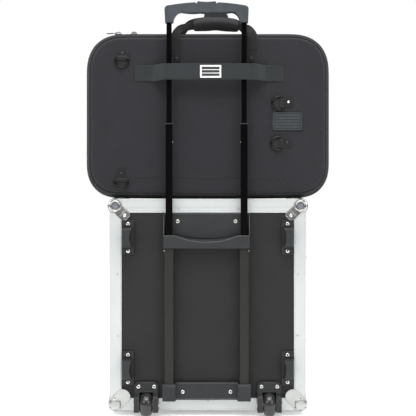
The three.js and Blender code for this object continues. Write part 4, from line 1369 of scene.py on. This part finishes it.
def build_flight_case():
    for level, up in LEVELS:
        for name, side in SIDES:
            build_ball_corner(level, up, name, side)
            build_skid_foot(level, name, side)
    build_lid_corners()
    build_edge_trim()
    build_side_rivets()
    for name, _ in SIDES:
        build_wheel(name)
        build_housing(name)
    build_brackets()
    build_lock_pins()
    build_grip_details()
    build_hardware()
    build_linings()


build_flight_case()

# ---------------------------------------------------------------- stage
def build_stage():
    """A pale floor that sweeps up into a wall behind the object."""
    bend_start, radius, top, half = 4.6, 1.6, 7.0, 9.0
    line = [(-7.0, 0.0), (bend_start, 0.0)]
    for step in range(1, 13):
        turn = step * math.pi / 24
        line.append((bend_start + radius * math.sin(turn), radius - radius * math.cos(turn)))
    line.append((bend_start + radius, top))
    bm = bmesh.new()
    points = [(x, y, z - 0.2 * MM) for y, z in line for x in (-half, half)]
    add_faces(bm, points, [(2 * i, 2 * i + 1, 2 * i + 3, 2 * i + 2) for i in range(len(line) - 1)])
    mesh = bpy.data.meshes.new("backdrop")
    bm.to_mesh(mesh)
    bm.free()
    mesh.shade_smooth()
    paper = Nodes("backdrop_paper", (0.85, 0.85, 0.85), 0.95, Emission_Strength=0.42)
    paper.shader.inputs["Emission Color"].default_value = (1, 1, 1, 1)
    mesh.materials.append(paper.material)
    obj = bpy.data.objects.new("backdrop", mesh)
    bpy.context.scene.collection.objects.link(obj)
    build_surround(5.2)


def build_surround(radius):
    """A white wall all round, far out, that is only seen and lights nothing."""
    bm = bmesh.new()
    low, high = -0.02, 12.0
    profile = [(0, low), (radius, low), (radius, high), (0, high)]
    add_lathe(bm, profile, Vector((0, 0, 0)), Z, 48)
    mesh = bpy.data.meshes.new("surround")
    bm.to_mesh(mesh)
    bm.free()
    white = Nodes("surround_paper", (0.0, 0.0, 0.0), 1.0, Emission_Strength=1.0, Specular_IOR_Level=0.0)
    white.shader.inputs["Emission Color"].default_value = (1, 1, 1, 1)
    mesh.materials.append(white.material)
    obj = bpy.data.objects.new("surround", mesh)
    for kind in ("diffuse", "glossy", "transmission", "shadow", "volume_scatter"):
        setattr(obj, f"visible_{kind}", False)
    bpy.context.scene.collection.objects.link(obj)


CAMERA_DISTANCE = 2.627  # from the trolley side
CAMERA_HEIGHT = 0.519
VIEW_WIDTH = 1.0385  # what the frame spans at that distance


def build_camera():
    data = bpy.data.cameras.new("camera")
    data.sensor_width = 36
    data.lens = data.sensor_width * CAMERA_DISTANCE / VIEW_WIDTH
    camera = bpy.data.objects.new("camera", data)
    camera.location = (0.5 * MM, BACK - CAMERA_DISTANCE, CAMERA_HEIGHT)
    camera.rotation_euler = (math.pi / 2, 0, 0)
    bpy.context.scene.collection.objects.link(camera)
    bpy.context.scene.camera = camera


def area_light(name, place, size, power):
    """A soft box that faces the object. It lights and reflects, and the camera doesn't see it."""
    data = bpy.data.lights.new(name, "AREA")
    data.shape = "RECTANGLE"
    data.size, data.size_y = size
    data.energy = power
    obj = bpy.data.objects.new(name, data)
    obj.location = place
    obj.rotation_euler = (Vector((0, 0, 0.55)) - Vector(place)).to_track_quat("-Z", "Y").to_euler()
    obj.visible_camera = False
    bpy.context.scene.collection.objects.link(obj)


def build_lights():
    world = bpy.data.worlds.new("studio")
    world.use_nodes = True
    background = world.node_tree.nodes["Background"]
    background.inputs["Color"].default_value = (1, 1, 1, 1)
    background.inputs["Strength"].default_value = 0.22
    bpy.context.scene.world = world
    area_light("key", (-3.0, -3.9, 3.2), (2.4, 2.0), 66)
    area_light("fill", (3.2, -3.7, 2.8), (2.2, 2.2), 54)
    area_light("front_top", (0, -1.35, 2.2), (1.4, 0.5), 21)
    area_light("top", (0, -0.2, 4.6), (5, 5), 280)
    area_light("back_left", (-3.6, 3.2, 2.2), (2, 2), 90)
    area_light("back_right", (3.6, 3.4, 2.2), (2, 2), 60)
    bpy.context.scene.view_settings.view_transform = "Standard"


build_stage()
build_camera()
build_lights()
